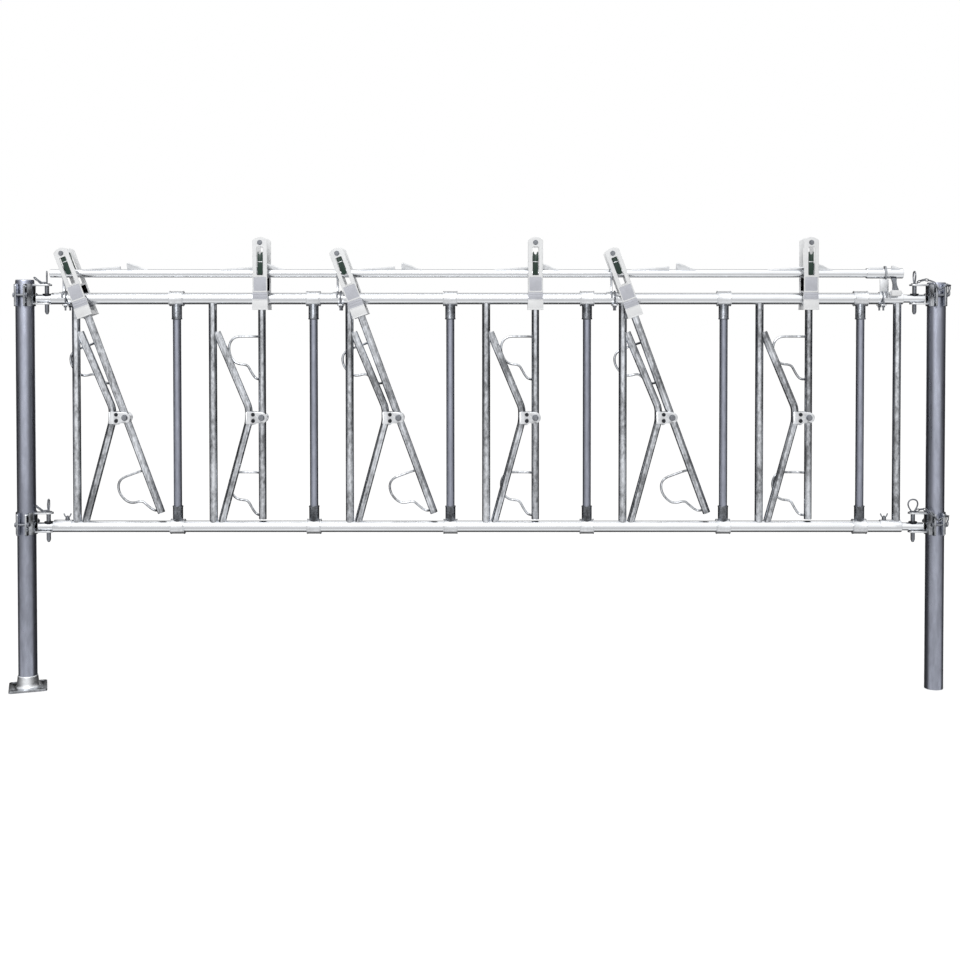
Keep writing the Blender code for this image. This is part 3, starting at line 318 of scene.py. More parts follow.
def bent_rod(points, radius, closed=False, sides=12):
    """Round rod along a path, drawn as a curve and turned into a mesh."""
    deselect()
    bpy.ops.curve.primitive_nurbs_path_add()
    obj = bpy.context.object
    obj.data.splines.remove(obj.data.splines[0])
    line = obj.data.splines.new("POLY")
    line.points.add(len(points) - 1)
    for knot, point in zip(line.points, points):
        knot.co = (*point, 1)
    line.use_cyclic_u = closed
    obj.data.bevel_depth = radius
    obj.data.bevel_resolution = (sides - 4) // 4
    obj.data.use_fill_caps = not closed
    bpy.ops.object.convert(target="MESH")
    return outward(bpy.context.object)


def shift(obj, matrix):
    """Move a piece's mesh by a matrix."""
    obj.matrix_world = matrix
    choose(obj)
    bpy.ops.object.transform_apply(location=True, rotation=True, scale=True)
    return outward(obj) if matrix.determinant() < 0 else obj


def at(x, y, z):
    """Matrix that moves to a place."""
    return Matrix.Translation((x, y, z))


def twin(obj, matrix):
    """Copy of a piece, moved by a matrix."""
    choose(obj)
    bpy.ops.object.duplicate(linked=False)
    return shift(bpy.context.object, matrix)


def combine(body, *tools, operation="DIFFERENCE"):
    """Exact Boolean of a piece with each tool, which is deleted after."""
    for tool in tools:
        choose(body)
        modifier = body.modifiers.new("cut", "BOOLEAN")
        modifier.operation = operation
        modifier.solver = "EXACT"
        modifier.object = tool
        bpy.ops.object.modifier_apply(modifier="cut")
        choose(tool)
        bpy.ops.object.delete()
    return body


def gather(*pieces):
    """One object from several closed shells."""
    choose(*pieces)
    bpy.ops.object.join()
    return bpy.context.object


def dress(obj, finish, edge=0.0, steps=2, angle=40):
    """Round the sharp edges, shade smooth by angle and give the finish."""
    choose(obj)
    if edge:
        modifier = obj.modifiers.new("edge", "BEVEL")
        modifier.width = edge
        modifier.segments = steps
        modifier.limit_method = "ANGLE"
        modifier.angle_limit = radians(angle)
        modifier.use_clamp_overlap = True
        bpy.ops.object.modifier_apply(modifier="edge")
    bpy.ops.object.shade_smooth_by_angle(angle=radians(angle))
    obj.data.materials.clear()
    obj.data.materials.append(finish)
    return obj


def place(pattern, name, body, slot, matrix, *nodes):
    """Copy of a finished piece at its place, which rides on a body and stands for CAD nodes."""
    copy = twin(pattern, matrix)
    copy.name = name
    copy.data.name = name
    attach(copy, body)
    if nodes:
        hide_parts(*nodes)
    return copy


def clear(*patterns):
    """Delete the patterns that have been copied."""
    choose(*patterns)
    bpy.ops.object.delete()


def hex_bolt(radius, grip, tail=0.006):
    """Hexagon bolt along Z through a grip: chamfered head and nut, washers and a threaded end."""
    wide, height, disc, bite = radius * 1.75, radius * 1.3, 0.0014, 0.0001
    head = turn([(wide * 0.88, -height), (wide, -height * 0.82), (wide, 0)], 6)
    washers = [rod(wide * 1.2, z, z + disc, 24) for z in (bite - disc, grip - bite)]
    top = grip + height
    flats = [(wide * 0.95, grip), (wide, grip + height * 0.15), (wide, grip + height * 0.85)]
    nut = turn(flats + [(wide * 0.88, top)], 6)
    thread = [(radius * 0.9, 0.0), (radius * 0.9, top)]
    for k in range(5):
        low = top + tail * k / 5
        thread += [(radius, low + tail * 0.08), (radius * 0.86, low + tail * 0.19)]
    return gather(head, *washers, nut, turn(thread, 16))


def add_node(tree, kind, links=None, **settings):
    """Add a node with its settings; links holds sources or plain values for its inputs."""
    node = tree.nodes.new(kind)
    for key, value in settings.items():
        setattr(node, key, value)
    for key, source in (links or {}).items():
        if isinstance(source, bpy.types.NodeSocket):
            tree.links.new(source, node.inputs[key])
        else:
            node.inputs[key].default_value = source
    return node


def blank(name):
    """New material with its Principled shader."""
    made = bpy.data.materials.new(name)
    made.use_nodes = True
    return made, made.node_tree, made.node_tree.nodes["Principled BSDF"]


def noise(tree, vector, scale, detail, roughness=0.5):
    """Cloud pattern, its scale in repeats per metre."""
    links = {"Vector": vector, "Scale": scale, "Detail": detail, "Roughness": roughness}
    return add_node(tree, "ShaderNodeTexNoise", links).outputs["Fac"]


def mapped(tree, value, low, high, first=0.0, last=1.0):
    """Value from low to high, carried over to first and last."""
    links = {"Value": value, "From Min": low, "From Max": high, "To Min": first, "To Max": last}
    return add_node(tree, "ShaderNodeMapRange", links).outputs[0]


def blend(tree, share, first, second):
    """Colour between two, by a share."""
    return add_node(tree, "ShaderNodeMix", {0: share, 6: first, 7: second}, data_type="RGBA").outputs[2]


def skin(tree, shader, patches, tones, roughness, spread, height, strength, depth):
    """Tone and gloss that follow patches, darker ones duller, and a bump of a depth in metres."""
    dark, light = [(*tone, 1) for tone in tones]
    tree.links.new(blend(tree, patches, dark, light), shader.inputs["Base Color"])
    tree.links.new(mapped(tree, patches, 0.0, 1.0, roughness + spread, roughness), shader.inputs["Roughness"])
    relief = add_node(tree, "ShaderNodeBump", {"Strength": strength, "Distance": depth, "Height": height})
    tree.links.new(relief.outputs[0], shader.inputs["Normal"])


def metal(name, colour, grain, along, contrast, roughness, spread=0.10, dents=0.00012):
    """Zinc-coated steel: cloudy spangle of one grain in metres, drawn out along an axis, with fine pits.

    Hot-dip zinc gives the eye soft patches of lighter and darker grey, duller where they are darker.
    """
    made, tree, shader = blank(name)
    place_of = add_node(tree, "ShaderNodeTexCoord").outputs["Object"]
    stretch = add_node(tree, "ShaderNodeMapping", {"Vector": place_of, "Scale": along}).outputs[0]
    cloud = noise(tree, stretch, 1 / grain, 5.0, 0.62)
    broad = noise(tree, stretch, 0.12 / grain, 3.0)
    both = add_node(tree, "ShaderNodeMath", {0: cloud, 1: broad}, operation="ADD").outputs[0]
    patches = mapped(tree, both, 0.80, 1.22)
    dark = [c * (1 - contrast) for c in colour]
    light = [min(1.0, c * (1 + contrast * 0.55)) for c in colour]
    pits = noise(tree, stretch, 2.5 / grain, 4.0)
    skin(tree, shader, patches, (dark, light), roughness, spread, pits, 0.6, dents)
    shader.inputs["Metallic"].default_value = 1.0
    return made


def plastic(name, colour, grain, roughness, contrast):
    """Moulded polyamide: even colour with slight dirt clouds and a fine spark-eroded grain."""
    made, tree, shader = blank(name)
    place_of = add_node(tree, "ShaderNodeTexCoord").outputs["Object"]
    patches = mapped(tree, noise(tree, place_of, 28.0, 6.0), 0.35, 0.62)
    dark = [c * (1 - contrast) for c in colour]
    sparks = noise(tree, place_of, 1 / grain, 3.0)
    skin(tree, shader, patches, (dark, colour), roughness, 0.1, sparks, 0.35, 0.0002)
    shader.inputs["IOR"].default_value = 1.53
    return made


def finish(key):
    """Material of a finish, made on first use from the colours in the panel."""
    found = bpy.data.materials.get(key)
    if found:
        return found
    paints = bpy.context.scene.headlock_colours
    even = (1, 1, 1)
    makers = {
        # hot-dip galvanised tube, smooth and bluish, its clouds drawn along the post
        "galvanised_post_tube": lambda: metal(
            key, paints.post_steel, grain=0.012, along=(1, 1, 0.25), contrast=0.22, roughness=0.26
        ),
        # galvanised welded bars, with a coarse spangle and dross spots
        "galvanised_bar": lambda: metal(
            key, paints.bar_steel, grain=0.008, along=(1, 1, 0.5), contrast=0.62, roughness=0.05,
            dents=0.00006
        ),
        # bright passivated zinc, with faint drawing lines along the rails
        "bright_zinc_tube": lambda: metal(
            key, paints.zinc, grain=0.010, along=(0.2, 1, 1), contrast=0.05, roughness=0.12, spread=0.03,
            dents=0.000002
        ),
        "bright_zinc_plate": lambda: metal(
            key, paints.zinc, grain=0.008, along=even, contrast=0.14, roughness=0.30
        ),
        # galvanised pressed plate of the post clamps, with random dark patches; its tone is set darker and
        # its patches stronger than the bright zinc's, as painted shade
        "galvanised_plate_with_painted_shade": lambda: metal(
            key, paints.shaded_clamp_zinc, grain=0.007, along=(1, 1, 0.5), contrast=0.45, roughness=0.13,
            spread=0.14, dents=0.0002
        ),
        # galvanised malleable castings, pitted from the sand mould
        "galvanised_casting": lambda: metal(
            key, paints.cast_zinc, grain=0.005, along=even, contrast=0.60, roughness=0.18, spread=0.16,
            dents=0.0004
        ),
        "blackened_bolt_steel": lambda: metal(
            key, paints.black_bolts, grain=0.004, along=even, contrast=0.30, roughness=0.32
        ),
        "plated_bolt_steel": lambda: metal(
            key, paints.plated_bolts, grain=0.005, along=even, contrast=0.25, roughness=0.28
        ),
        "grey_polyamide": lambda: plastic(key, paints.head_plastic, 0.0016, 0.42, 0.05),
        "darker_grey_polyamide": lambda: plastic(key, paints.band_plastic, 0.0016, 0.50, 0.08),
        "green_polyamide": lambda: plastic(key, paints.catch_plastic, 0.0016, 0.30, 0.25),
    }
    return makers[key]()


def corner_places():
    """Each corner's name with the matrix from the left clamp's own frame."""
    found = {}
    for level, z in (("top", TOP_RAIL.z), ("bottom", BOTTOM_RAIL_Z)):
        found[level + "_left"] = at(LEFT_POST.x, 0, z)
        found[level + "_right"] = at(RIGHT_POST.x, 0, z) @ MIRROR_X
    return found


class HEADLOCK_OT_posts(bpy.types.Operator):
    """Two posts with caps, the left one on its foot plate"""

    bl_idname = "headlock.posts"
    bl_label = "Posts"

    def post(self, s, low, top):
        """Post tube, open below, with a slightly domed cap pressed in flush."""
        bore, outer, seam = s.post_radius - s.post_wall, s.post_radius, top - 0.0050
        tube = [(bore, seam), (bore, low), (outer, low), (outer, seam)]
        cap = [(outer - 0.0004, top - 0.0032), (outer - 0.0008, top - 0.0010), (outer - 0.0022, top)]
        return dress(turn(tube + cap, 40), finish("galvanised_post_tube"))

    def foot_plate(self, s):
        """Square plate with round corners, an anchor hole near each and a drain hole inside the post."""
        half, thick, corner, past = s.plate_side / 2, s.plate_thickness, 0.009, 0.002
        anchor, drain, drain_x, inset = 0.006, 0.004, 0.016, half - 0.015
        spots = [(anchor, x, y, 20) for x in (-inset, inset) for y in (-inset, inset)]
        spots.append((drain, drain_x, 0, 16))
        holes = [shift(rod(r, -past, thick + past, sides), at(x, y, 0)) for r, x, y, sides in spots]
        plate = slab(rounded((-half, -half), (half, half), corner), 0, thick)
        return dress(combine(plate, *holes), finish("galvanised_plate_with_painted_shade"), 0.0010)

    def collar(self, s):
        """Conical weld collar round the foot of the left post."""
        outer, base = s.post_radius, s.plate_thickness
        flare = [(0.0085, -0.0002), (0.0060, 0.004), (0.0045, 0.014), (0.0026, 0.032), (0.0020, 0.035)]
        flare += [(0.0010, 0.036), (-0.0004, 0.036), (-0.0004, -0.0002)]
        ring = turn([(outer + out, base + up) for out, up in flare], 40, ring=True)
        return dress(ring, finish("bright_zinc_plate"))

    def execute(self, context):
        s = context.scene.headlock_sizes
        right = self.post(s, 0.0, span("right_post", 2))
        spot = at(RIGHT_POST.x, 0, 0)
        place(right, "right_post_tube", "fixed_frame", "galvanised_steel", spot, "right_post")
        left = self.post(s, s.plate_thickness, span("left_post", 2))
        place(left, "left_post_tube", "fixed_frame", "galvanised_steel", at(0, 0, 0), "left_post")
        plate, collar = self.foot_plate(s), self.collar(s)
        turned = Matrix.Rotation(BASE_TURN, 4, "Z")
        place(plate, "foot_plate", "fixed_frame", "galvanised_steel", turned, "left_post")
        place(collar, "weld_collar", "fixed_frame", "bright_zinc", at(0, 0, 0), "left_post")
        clear(right, left, plate, collar)
        return {"FINISHED"}


class HEADLOCK_OT_post_clamps(bpy.types.Operator):
    """Two-part clamps round the posts, with lugs for the drop pins, bolts and keeper chains"""

    bl_idname = "headlock.post_clamps"
    bl_label = "Post clamps"

    def half(self, s):
        """Half shell on the +X side with its two ears, their corners rounded off."""
        low, high, corner, past = -0.025, 0.048, 0.007, 0.08
        face, bore = s.ear_gap / 2, s.post_radius + 0.0002
        outside, ear = bore + s.clamp_wall, face + s.ear_thickness
        inner = 180 / pi * acos(face / bore)
        outer = 180 / pi * acos(ear / outside)
        end = outside + 0.0166
        outline = arc(0, 0, bore, -inner, inner, 24) + [(face, end), (ear, end)]
        outline += arc(0, 0, outside, outer, -outer, 24) + [(ear, -end), (face, -end)]
        shell = slab(outline, low, high)
        frame_cut = slab(rounded((-end, low), (end, high), corner), -past, past, "X")
        shell = combine(shell, frame_cut, operation="INTERSECT")
        return dress(shell, finish("galvanised_plate_with_painted_shade"), s.soft_edge)

    def lug(self, s):
        """Flat lug with a round end, drilled for the pin."""
        wide, root, thick = 0.0165, 0.031, 0.0055
        outline = [(root, wide), (root, -wide)] + arc(PIN_OUT, 0, wide, -90, 90, 20)
        plate = slab(outline, -thick, 0)
        drill = shift(rod(s.pin_radius + 0.0004, -0.01, 0.01, 24), at(PIN_OUT, 0, 0))
        return dress(combine(plate, drill), finish("bright_zinc_plate"), s.soft_edge)

    def chain(self, knots, count):
        """Keeper chain: oval wire links, each turned a quarter round from the one before, along a path."""
        tip, side, wide, wire = 0.0095, 0.0045, 0.0035, 0.0018
        bow = [(-side, 0, wide), (side, 0, wide), (tip, 0, 0)]
        link = bow + [(-x, 0, -z) for x, _, z in bow]
        pattern = bent_rod(eased(link, 0.004, closed=True), wire, closed=True)
        knots = [Vector(knot) for knot in knots]
        links = []
        for k in range(count):
            share = (k + 0.5) / count * (len(knots) - 1)
            first = min(int(share), len(knots) - 2)
            spot = knots[first].lerp(knots[first + 1], share - first)
            aim = (knots[first + 1] - knots[first]).to_track_quat("X", "Z").to_matrix().to_4x4()
            roll = Matrix.Rotation(pi / 2 * (k % 2) + 0.4, 4, "X")
            links.append(twin(pattern, Matrix.Translation(spot) @ aim @ roll))
        clear(pattern)
        return dress(gather(*links), finish("plated_bolt_steel"))

    def execute(self, context):
        s = context.scene.headlock_sizes
        upper_lug, bolt_up = 0.0472, 0.0115
        half, lug = self.half(s), self.lug(s)
        other = twin(half, MIRROR_X)
        upper = twin(lug, at(0, 0, upper_lug))
        lower = twin(lug, at(0, 0, -s.bar_radius - GAP))
        clamp = gather(half, other, upper, lower)
        grip = s.ear_gap + 2 * s.ear_thickness
        bolt = shift(hex_bolt(0.005, grip, 0.004), at(-grip / 2, 0, bolt_up) @ ALONG_X)
        ear_y = s.post_radius + s.clamp_wall + 0.0086
        bolts = gather(twin(bolt, at(0, ear_y, 0)), twin(bolt, at(0, -ear_y, 0)))
        dress(bolts, finish("plated_bolt_steel"))
        short = self.chain([(0.034, -0.006, 0.068), (0.046, -0.010, 0.060), (0.056, -0.010, 0.052),
                            (0.069, -0.006, 0.0525)], 4)
        long = self.chain([(0.066, -0.010, 0.054), (0.048, -0.030, 0.062), (0.030, -0.052, 0.056),
                           (0.006, -0.062, 0.026), (-0.014, -0.060, 0.044), (-0.026, -0.052, 0.042),
                           (-0.024, -0.052, 0.008)], 12)
        for corner, matrix in corner_places().items():
            node = "post_clamp_" + corner
            chain = short if "left" in corner else long
            place(clamp, "clamp_shells_" + corner, "fixed_frame", "bright_zinc", matrix, node)
            place(bolts, "clamp_bolts_" + corner, "fixed_frame", "plated_steel", matrix, node)
            place(chain, "keeper_chain_" + corner, "fixed_frame", "plated_steel", matrix, node)
        clear(clamp, lug, bolt, bolts, short, long)
        return {"FINISHED"}


class HEADLOCK_OT_drop_pins(bpy.types.Operator):
    """Drop pins with bent wire rings"""

    bl_idname = "headlock.drop_pins"
    bl_label = "Drop pins"

    def execute(self, context):
        s = context.scene.headlock_sizes
        turns = {"top_left": 108, "bottom_left": 100, "top_right": 85, "bottom_right": 15}
        low, high, r = -0.05195, 0.050, s.pin_radius
        profile = [(r * 0.35, low), (r * 0.6, low + 0.0015), (r * 0.97, low + 0.008), (r, low + 0.0095),
                   (r, high - 0.0015), (r * 0.8, high)]
        shank = turn(profile, 24)
        rim = [(0.0035, -0.0023), (0.0042, -0.0017), (0.0042, -0.0008), (0.0030, 0.0)]
        head = turn([(r + out, high + up) for out, up in rim], 28)
        bow = [(0.0035, high - 0.003), (0.0145, high + 0.012), (0.0190, high + 0.024), (0.0140, high + 0.036)]
        route = [(-x, 0, z) for x, z in bow] + [(0, 0, high + 0.0400)] + [(x, 0, z) for x, z in bow[::-1]]
        ring = bent_rod(eased(route, 0.007), s.ring_rod)
        pin = dress(gather(shank, head, ring), finish("plated_bolt_steel"))
        for corner, matrix in corner_places().items():
            spot = matrix @ Vector((PIN_OUT, 0, 0))
            turned = at(*spot) @ Matrix.Rotation(radians(turns[corner]), 4, "Z")
            place(pin, "ring_pin_" + corner, "pin_" + corner, "plated_steel", turned, "drop_pin_" + corner)
        clear(pin)
        return {"FINISHED"}


class HEADLOCK_OT_rails(bpy.types.Operator):
    """Both rails, the end tubes with their washers, the saddles and the wing screws"""

    bl_idname = "headlock.rails"
    bl_label = "Rails"

    def wing_screw(self, s):
        """Wing screw with a coned hub and two flared wings."""
        seat, r = s.rail_radius + 0.003, 0.0037
        hub = turn([(r * 1.95, seat - GAP), (r * 2.0, seat + 0.001), (r * 1.6, seat + 0.009),
                    (r, seat + 0.0095), (r, seat + 0.0125), (r * 0.7, seat + 0.0133)], 24)
        shank = rod(r, s.bar_radius + GAP, seat, 16)
        flare = [(0.0035, 0.003), (0.0105, 0.012), (0.0135, 0.0190), (0.0120, 0.0220), (0.0095, 0.0205)]
        flare += [(0.0060, 0.012), (0.0020, 0.009)]
        wing = slab([(x, seat + up) for x, up in flare], -0.0014, 0.0014, "Y")
        return gather(hub, shank, dress(wing, finish("plated_bolt_steel"), 0.0007), twin(wing, MIRROR_X))

    def end_tube(self, s):
        """Tube that slides in a rail's end, drilled for the drop pin."""
        near, far = 0.03995, 0.23995
        drill = shift(rod(s.pin_radius + 0.0004, s.rail_radius, -s.rail_radius, 20), at(PIN_OUT, 0, 0))
        tube = shift(pipe(s.bar_radius, s.bar_radius - s.bar_wall, near, far), ALONG_X)
        return dress(combine(tube, drill), finish("bright_zinc_tube"))

    def washer(self, s):
        """Washer under the drop pin's lug, on the end tube."""
        ring = pipe(0.0140, s.pin_radius + 0.0005, s.bar_radius - 0.0004, s.bar_radius + 0.003, 28)
        return dress(shift(ring, at(PIN_OUT, 0, 0)), finish("blackened_bolt_steel"))

    def execute(self, context):
        s = context.scene.headlock_sizes
        start, end = RAIL_LOW.x, RAIL_HIGH.x
        rail = shift(pipe(s.rail_radius, s.rail_radius - s.rail_wall, start, end, 40), ALONG_X)
        dress(rail, finish("bright_zinc_tube"))
        place(rail, "top_rail_tube", "fixed_frame", "bright_zinc", at(0, 0, TOP_RAIL.z), "top_rail")
        lower = at(0, 0, BOTTOM_RAIL_Z)
        place(rail, "bottom_rail_tube", "fixed_frame", "bright_zinc", lower, "bottom_rail")
        inner, outer = s.rail_radius + 0.0001, s.rail_radius + 0.003
        outline = arc(0, 0, outer, -3, 183, 28) + arc(0, 0, inner, 183, -3, 28)
        screw = dress(self.wing_screw(s), finish("plated_bolt_steel"))
        ends = (("left", start + 0.002, 0.060, start + 0.045), ("right", end - 0.070, 0.068, end - 0.056))
        for side, low, length, screw_x in ends:
            saddle = dress(slab(outline, low, low + length, "X"), finish("bright_zinc_plate"), s.soft_edge)
            place(saddle, "saddle_" + side, "fixed_frame", "bright_zinc", lower, "bottom_rail")
            spot = at(screw_x, 0, BOTTOM_RAIL_Z)
            place(screw, "wing_screw_" + side, "fixed_frame", "bright_zinc", spot, "bottom_rail")
            clear(saddle)
        tube, washer = self.end_tube(s), self.washer(s)
        for corner, matrix in corner_places().items():
            node = "rail_end_tube_" + corner
            place(tube, "end_tube_" + corner, "fixed_frame", "galvanised_steel", matrix, node)
            place(washer, "pin_washer_" + corner, "fixed_frame", "plated_steel", matrix, node)
        clear(rail, screw, tube, washer)
        return {"FINISHED"}


class HEADLOCK_OT_dividers(bpy.types.Operator):
    """Divider bars held in cast tees on both rails"""

    bl_idname = "headlock.dividers"
    bl_label = "Dividers"

    def tee(self, s):
        """Cast tee: a sleeve round the rail with beaded ends and a straight socket below it."""
        bore, half, bead = s.rail_radius + GAP, 0.02325, 0.0012
        outer = bore + s.tee_wall
        rim = [(outer, half - 0.0035), (outer + bead, half - 0.0025), (outer + bead, half - 0.0006),
               (outer + 0.0006, half), (bore, half)]
        profile = [(r, -z) for r, z in rim] + rim[::-1]
        sleeve = shift(turn(profile, 36, ring=True), ALONG_X)
        neck = s.bar_radius + 0.0031
        beaded = [(neck + 0.0010, -0.0655), (neck + 0.0010, -0.0680), (neck + 0.0004, -0.0685)]
        socket = turn([(neck, -0.0040), (neck, -0.0640)] + beaded)
        rail = shift(rod(bore, -0.05, 0.05, 36), ALONG_X)
        shank = rod(s.bar_radius + 0.0002, -0.08, -0.022)
        socket = dress(combine(socket, rail, shank), finish("galvanised_casting"), 0.0006)
        return gather(socket, dress(sleeve, finish("bright_zinc_plate"), 0.0006))

    def execute(self, context):
        s = context.scene.headlock_sizes
        tee = self.tee(s)
        low, high = BOTTOM_RAIL_Z + s.rail_radius + 0.003, TOP_RAIL.z - s.rail_radius - 0.003
        bar = dress(pipe(s.bar_radius, s.bar_radius - s.bar_wall, low, high), finish("galvanised_post_tube"))
        for number in PLACES:
            node = f"divider_{number}"
            x = middle(node).x
            place(bar, f"divider_bar_{number}", "fixed_frame", "galvanised_steel", at(x, 0, 0), node)
            place(tee, f"top_tee_{number}", "fixed_frame", "galvanised_steel", at(x, 0, TOP_RAIL.z), node)
            turned = at(x, 0, BOTTOM_RAIL_Z) @ Matrix.Rotation(pi, 4, "X")
            place(tee, f"bottom_tee_{number}", "fixed_frame", "galvanised_steel", turned, node)
        clear(bar, tee)
        return {"FINISHED"}


class HEADLOCK_OT_neck_frames(bpy.types.Operator):
    """Uprights with their bent neck struts, and the plain upright at the right end"""

    bl_idname = "headlock.neck_frames"
    bl_label = "Neck frames"

    def execute(self, context):
        s = context.scene.headlock_sizes
        look = finish("galvanised_bar")
        gap = s.rail_radius + GAP
        rails = [shift(rod(gap, -0.3, 0.3, 40), at(0, 0, z) @ ALONG_X) for z in (BOTTOM_RAIL_Z, TOP_RAIL.z)]
        upright = pipe(s.bar_radius, s.bar_radius - s.bar_wall, BOTTOM_RAIL_Z, TOP_RAIL.z)
        upright = dress(combine(upright, *[twin(rail, Matrix.Identity(4)) for rail in rails]), look)
        z, top_x, bend_x, foot_x = PIVOTS[0].z, 0.0134, 0.1175, 0.0228
        corners = [(top_x, 0, z + 0.281), (bend_x, 0, z + 0.032), (bend_x, 0, z - 0.012)]
        corners.append((foot_x, 0, BOTTOM_RAIL_Z))
        strut = bent_rod(eased(corners, 0.014, 8), s.arm_radius, sides=32)
        core = rod(s.bar_radius - 0.001, BOTTOM_RAIL_Z, TOP_RAIL.z)
        strut = dress(combine(strut, core, *rails), look)
        for number in PLACES:
            node = f"neck_frame_{number}"
            spot = at(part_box(node)[0].x + s.bar_radius, 0, 0)
            place(upright, f"upright_{number}", "fixed_frame", "galvanised_steel", spot, node)
            place(strut, f"neck_strut_{number}", "fixed_frame", "galvanised_steel", spot, node)
        spot = at(middle("end_upright").x, 0, 0)
        place(upright, "right_end_upright", "fixed_frame", "galvanised_steel", spot, "end_upright")
        clear(upright, strut)
        return {"FINISHED"}


class HEADLOCK_OT_pivot_clamps(bpy.types.Operator):
    """Formed plates that clamp each strut and carry an arm's pivot bolt"""

    bl_idname = "headlock.pivot_clamps"
    bl_label = "Pivot clamps"

    def plate(self, s):
        """Front plate: flat round the pivot, swelled round the strut."""
        near, wall = s.arm_radius + GAP, 0.004
        left, waist, half, corner, strut_x = -0.053, -0.032, 0.020, 0.005, -0.0445
        outline = arc(left + corner, -half + corner, corner, 180, 270, 4)
        outline += [(waist - 0.008, -half), (waist - 0.001, -half - 0.004), (waist + 0.005, -half - 0.004)]
        outline += [(-0.020, -0.018)] + arc(0, 0, 0.018, -90, 90, 20) + [(-0.018, half)]
        outline += arc(left + corner, half - corner, corner, 90, 180, 4)
        plate = slab(outline, -near - wall, -near, "Y")
        swell = shift(rod(0.0178, -0.0195, 0.0195, 36), at(strut_x, 0, 0))
        spare = block((-0.08, -near, -0.03), (0.01, 0.05, 0.03))
        past = block((-0.08, -0.05, -0.03), (left, 0.05, 0.03))
        plate = combine(plate, combine(swell, spare, past), operation="UNION")
        hollow = shift(rod(s.arm_radius + 0.0002, -0.04, 0.04), at(strut_x, 0, 0))
        return dress(combine(plate, hollow), finish("bright_zinc_plate"), s.soft_edge)

    def execute(self, context):
        s = context.scene.headlock_sizes
        front = self.plate(s)
        plates = gather(front, twin(front, MIRROR_Y))
        grip, screw_x, screw_z = 2 * (s.arm_radius + GAP + 0.004), -0.028, 0.0105
        bolt = shift(hex_bolt(0.003, grip, 0.004), at(screw_x, -grip / 2, 0) @ ALONG_Y)
        screws = gather(twin(bolt, at(0, 0, screw_z)), twin(bolt, at(0, 0, -screw_z)))
        dress(screws, finish("blackened_bolt_steel"))
        pivot = shift(hex_bolt(0.005, grip, 0.005), at(0, -grip / 2, 0) @ ALONG_Y)
        dress(pivot, finish("plated_bolt_steel"))
        for number, centre in zip(PLACES, PIVOTS):
            node, matrix = f"pivot_clamp_{number}", at(*centre)
            place(plates, f"clamp_plates_{number}", "fixed_frame", "bright_zinc", matrix, node)
            place(screws, f"plate_bolts_{number}", "fixed_frame", "plated_steel", matrix, node)
            place(pivot, f"pivot_bolt_{number}", "fixed_frame", "plated_steel", matrix, node)
        clear(plates, bolt, screws, pivot)
        return {"FINISHED"}


def arm_frame(number):
    """Matrix from an arm's own frame, pivot at zero and upright, to where it stands."""
    tilt = -OPEN_TILT if number % 2 else 0.0
    return at(*PIVOTS[number - 1]) @ Matrix.Rotation(tilt, 4, "Y")


class HEADLOCK_OT_arms(bpy.types.Operator):
    """Locking arms with their guard loops"""

    bl_idname = "headlock.arms"
    bl_label = "Locking arms"

    def loop(self, s, top):
        """Guard loop of bent wire behind the strut, its two ends welded to the arm."""
        root = Vector((s.arm_radius * 0.72, s.arm_radius * 0.6, 0))
        shares = ((0.78, 0.0), (0.94, 0.10), (1.0, 0.30), (0.91, 0.53), (0.74, 0.65), (0.46, 0.66),
                  (0.37, 0.80), (0.27, 0.94))
        back, reach, height = 0.0205, 0.115, 0.141
        route = [(root.x, root.y, 0), (root.x + 0.016, back, 0)]
        route += [(reach * out, back, height * down) for out, down in shares]
        route += [(root.x + 0.012, back, height), (root.x, root.y, height)]
        return bent_rod(eased([(-x, y, top - drop) for x, y, drop in route], 0.018, 6), s.loop_rod, sides=16)

    def execute(self, context):
        s = context.scene.headlock_sizes
        foot, end, loop_tops = -0.336, 0.368, (0.267, -0.183)
        tube = pipe(s.arm_radius, s.arm_radius - s.arm_wall, foot, end)
        loops = [self.loop(s, top) for top in loop_tops]
        arm = dress(gather(tube, *loops), finish("galvanised_bar"))
        for number in PLACES:
            place(arm, f"locking_arm_tube_{number}", f"locking_arm_{number}", "galvanised_steel",
                  arm_frame(number), f"arm_{number}")
        clear(arm)
        return {"FINISHED"}


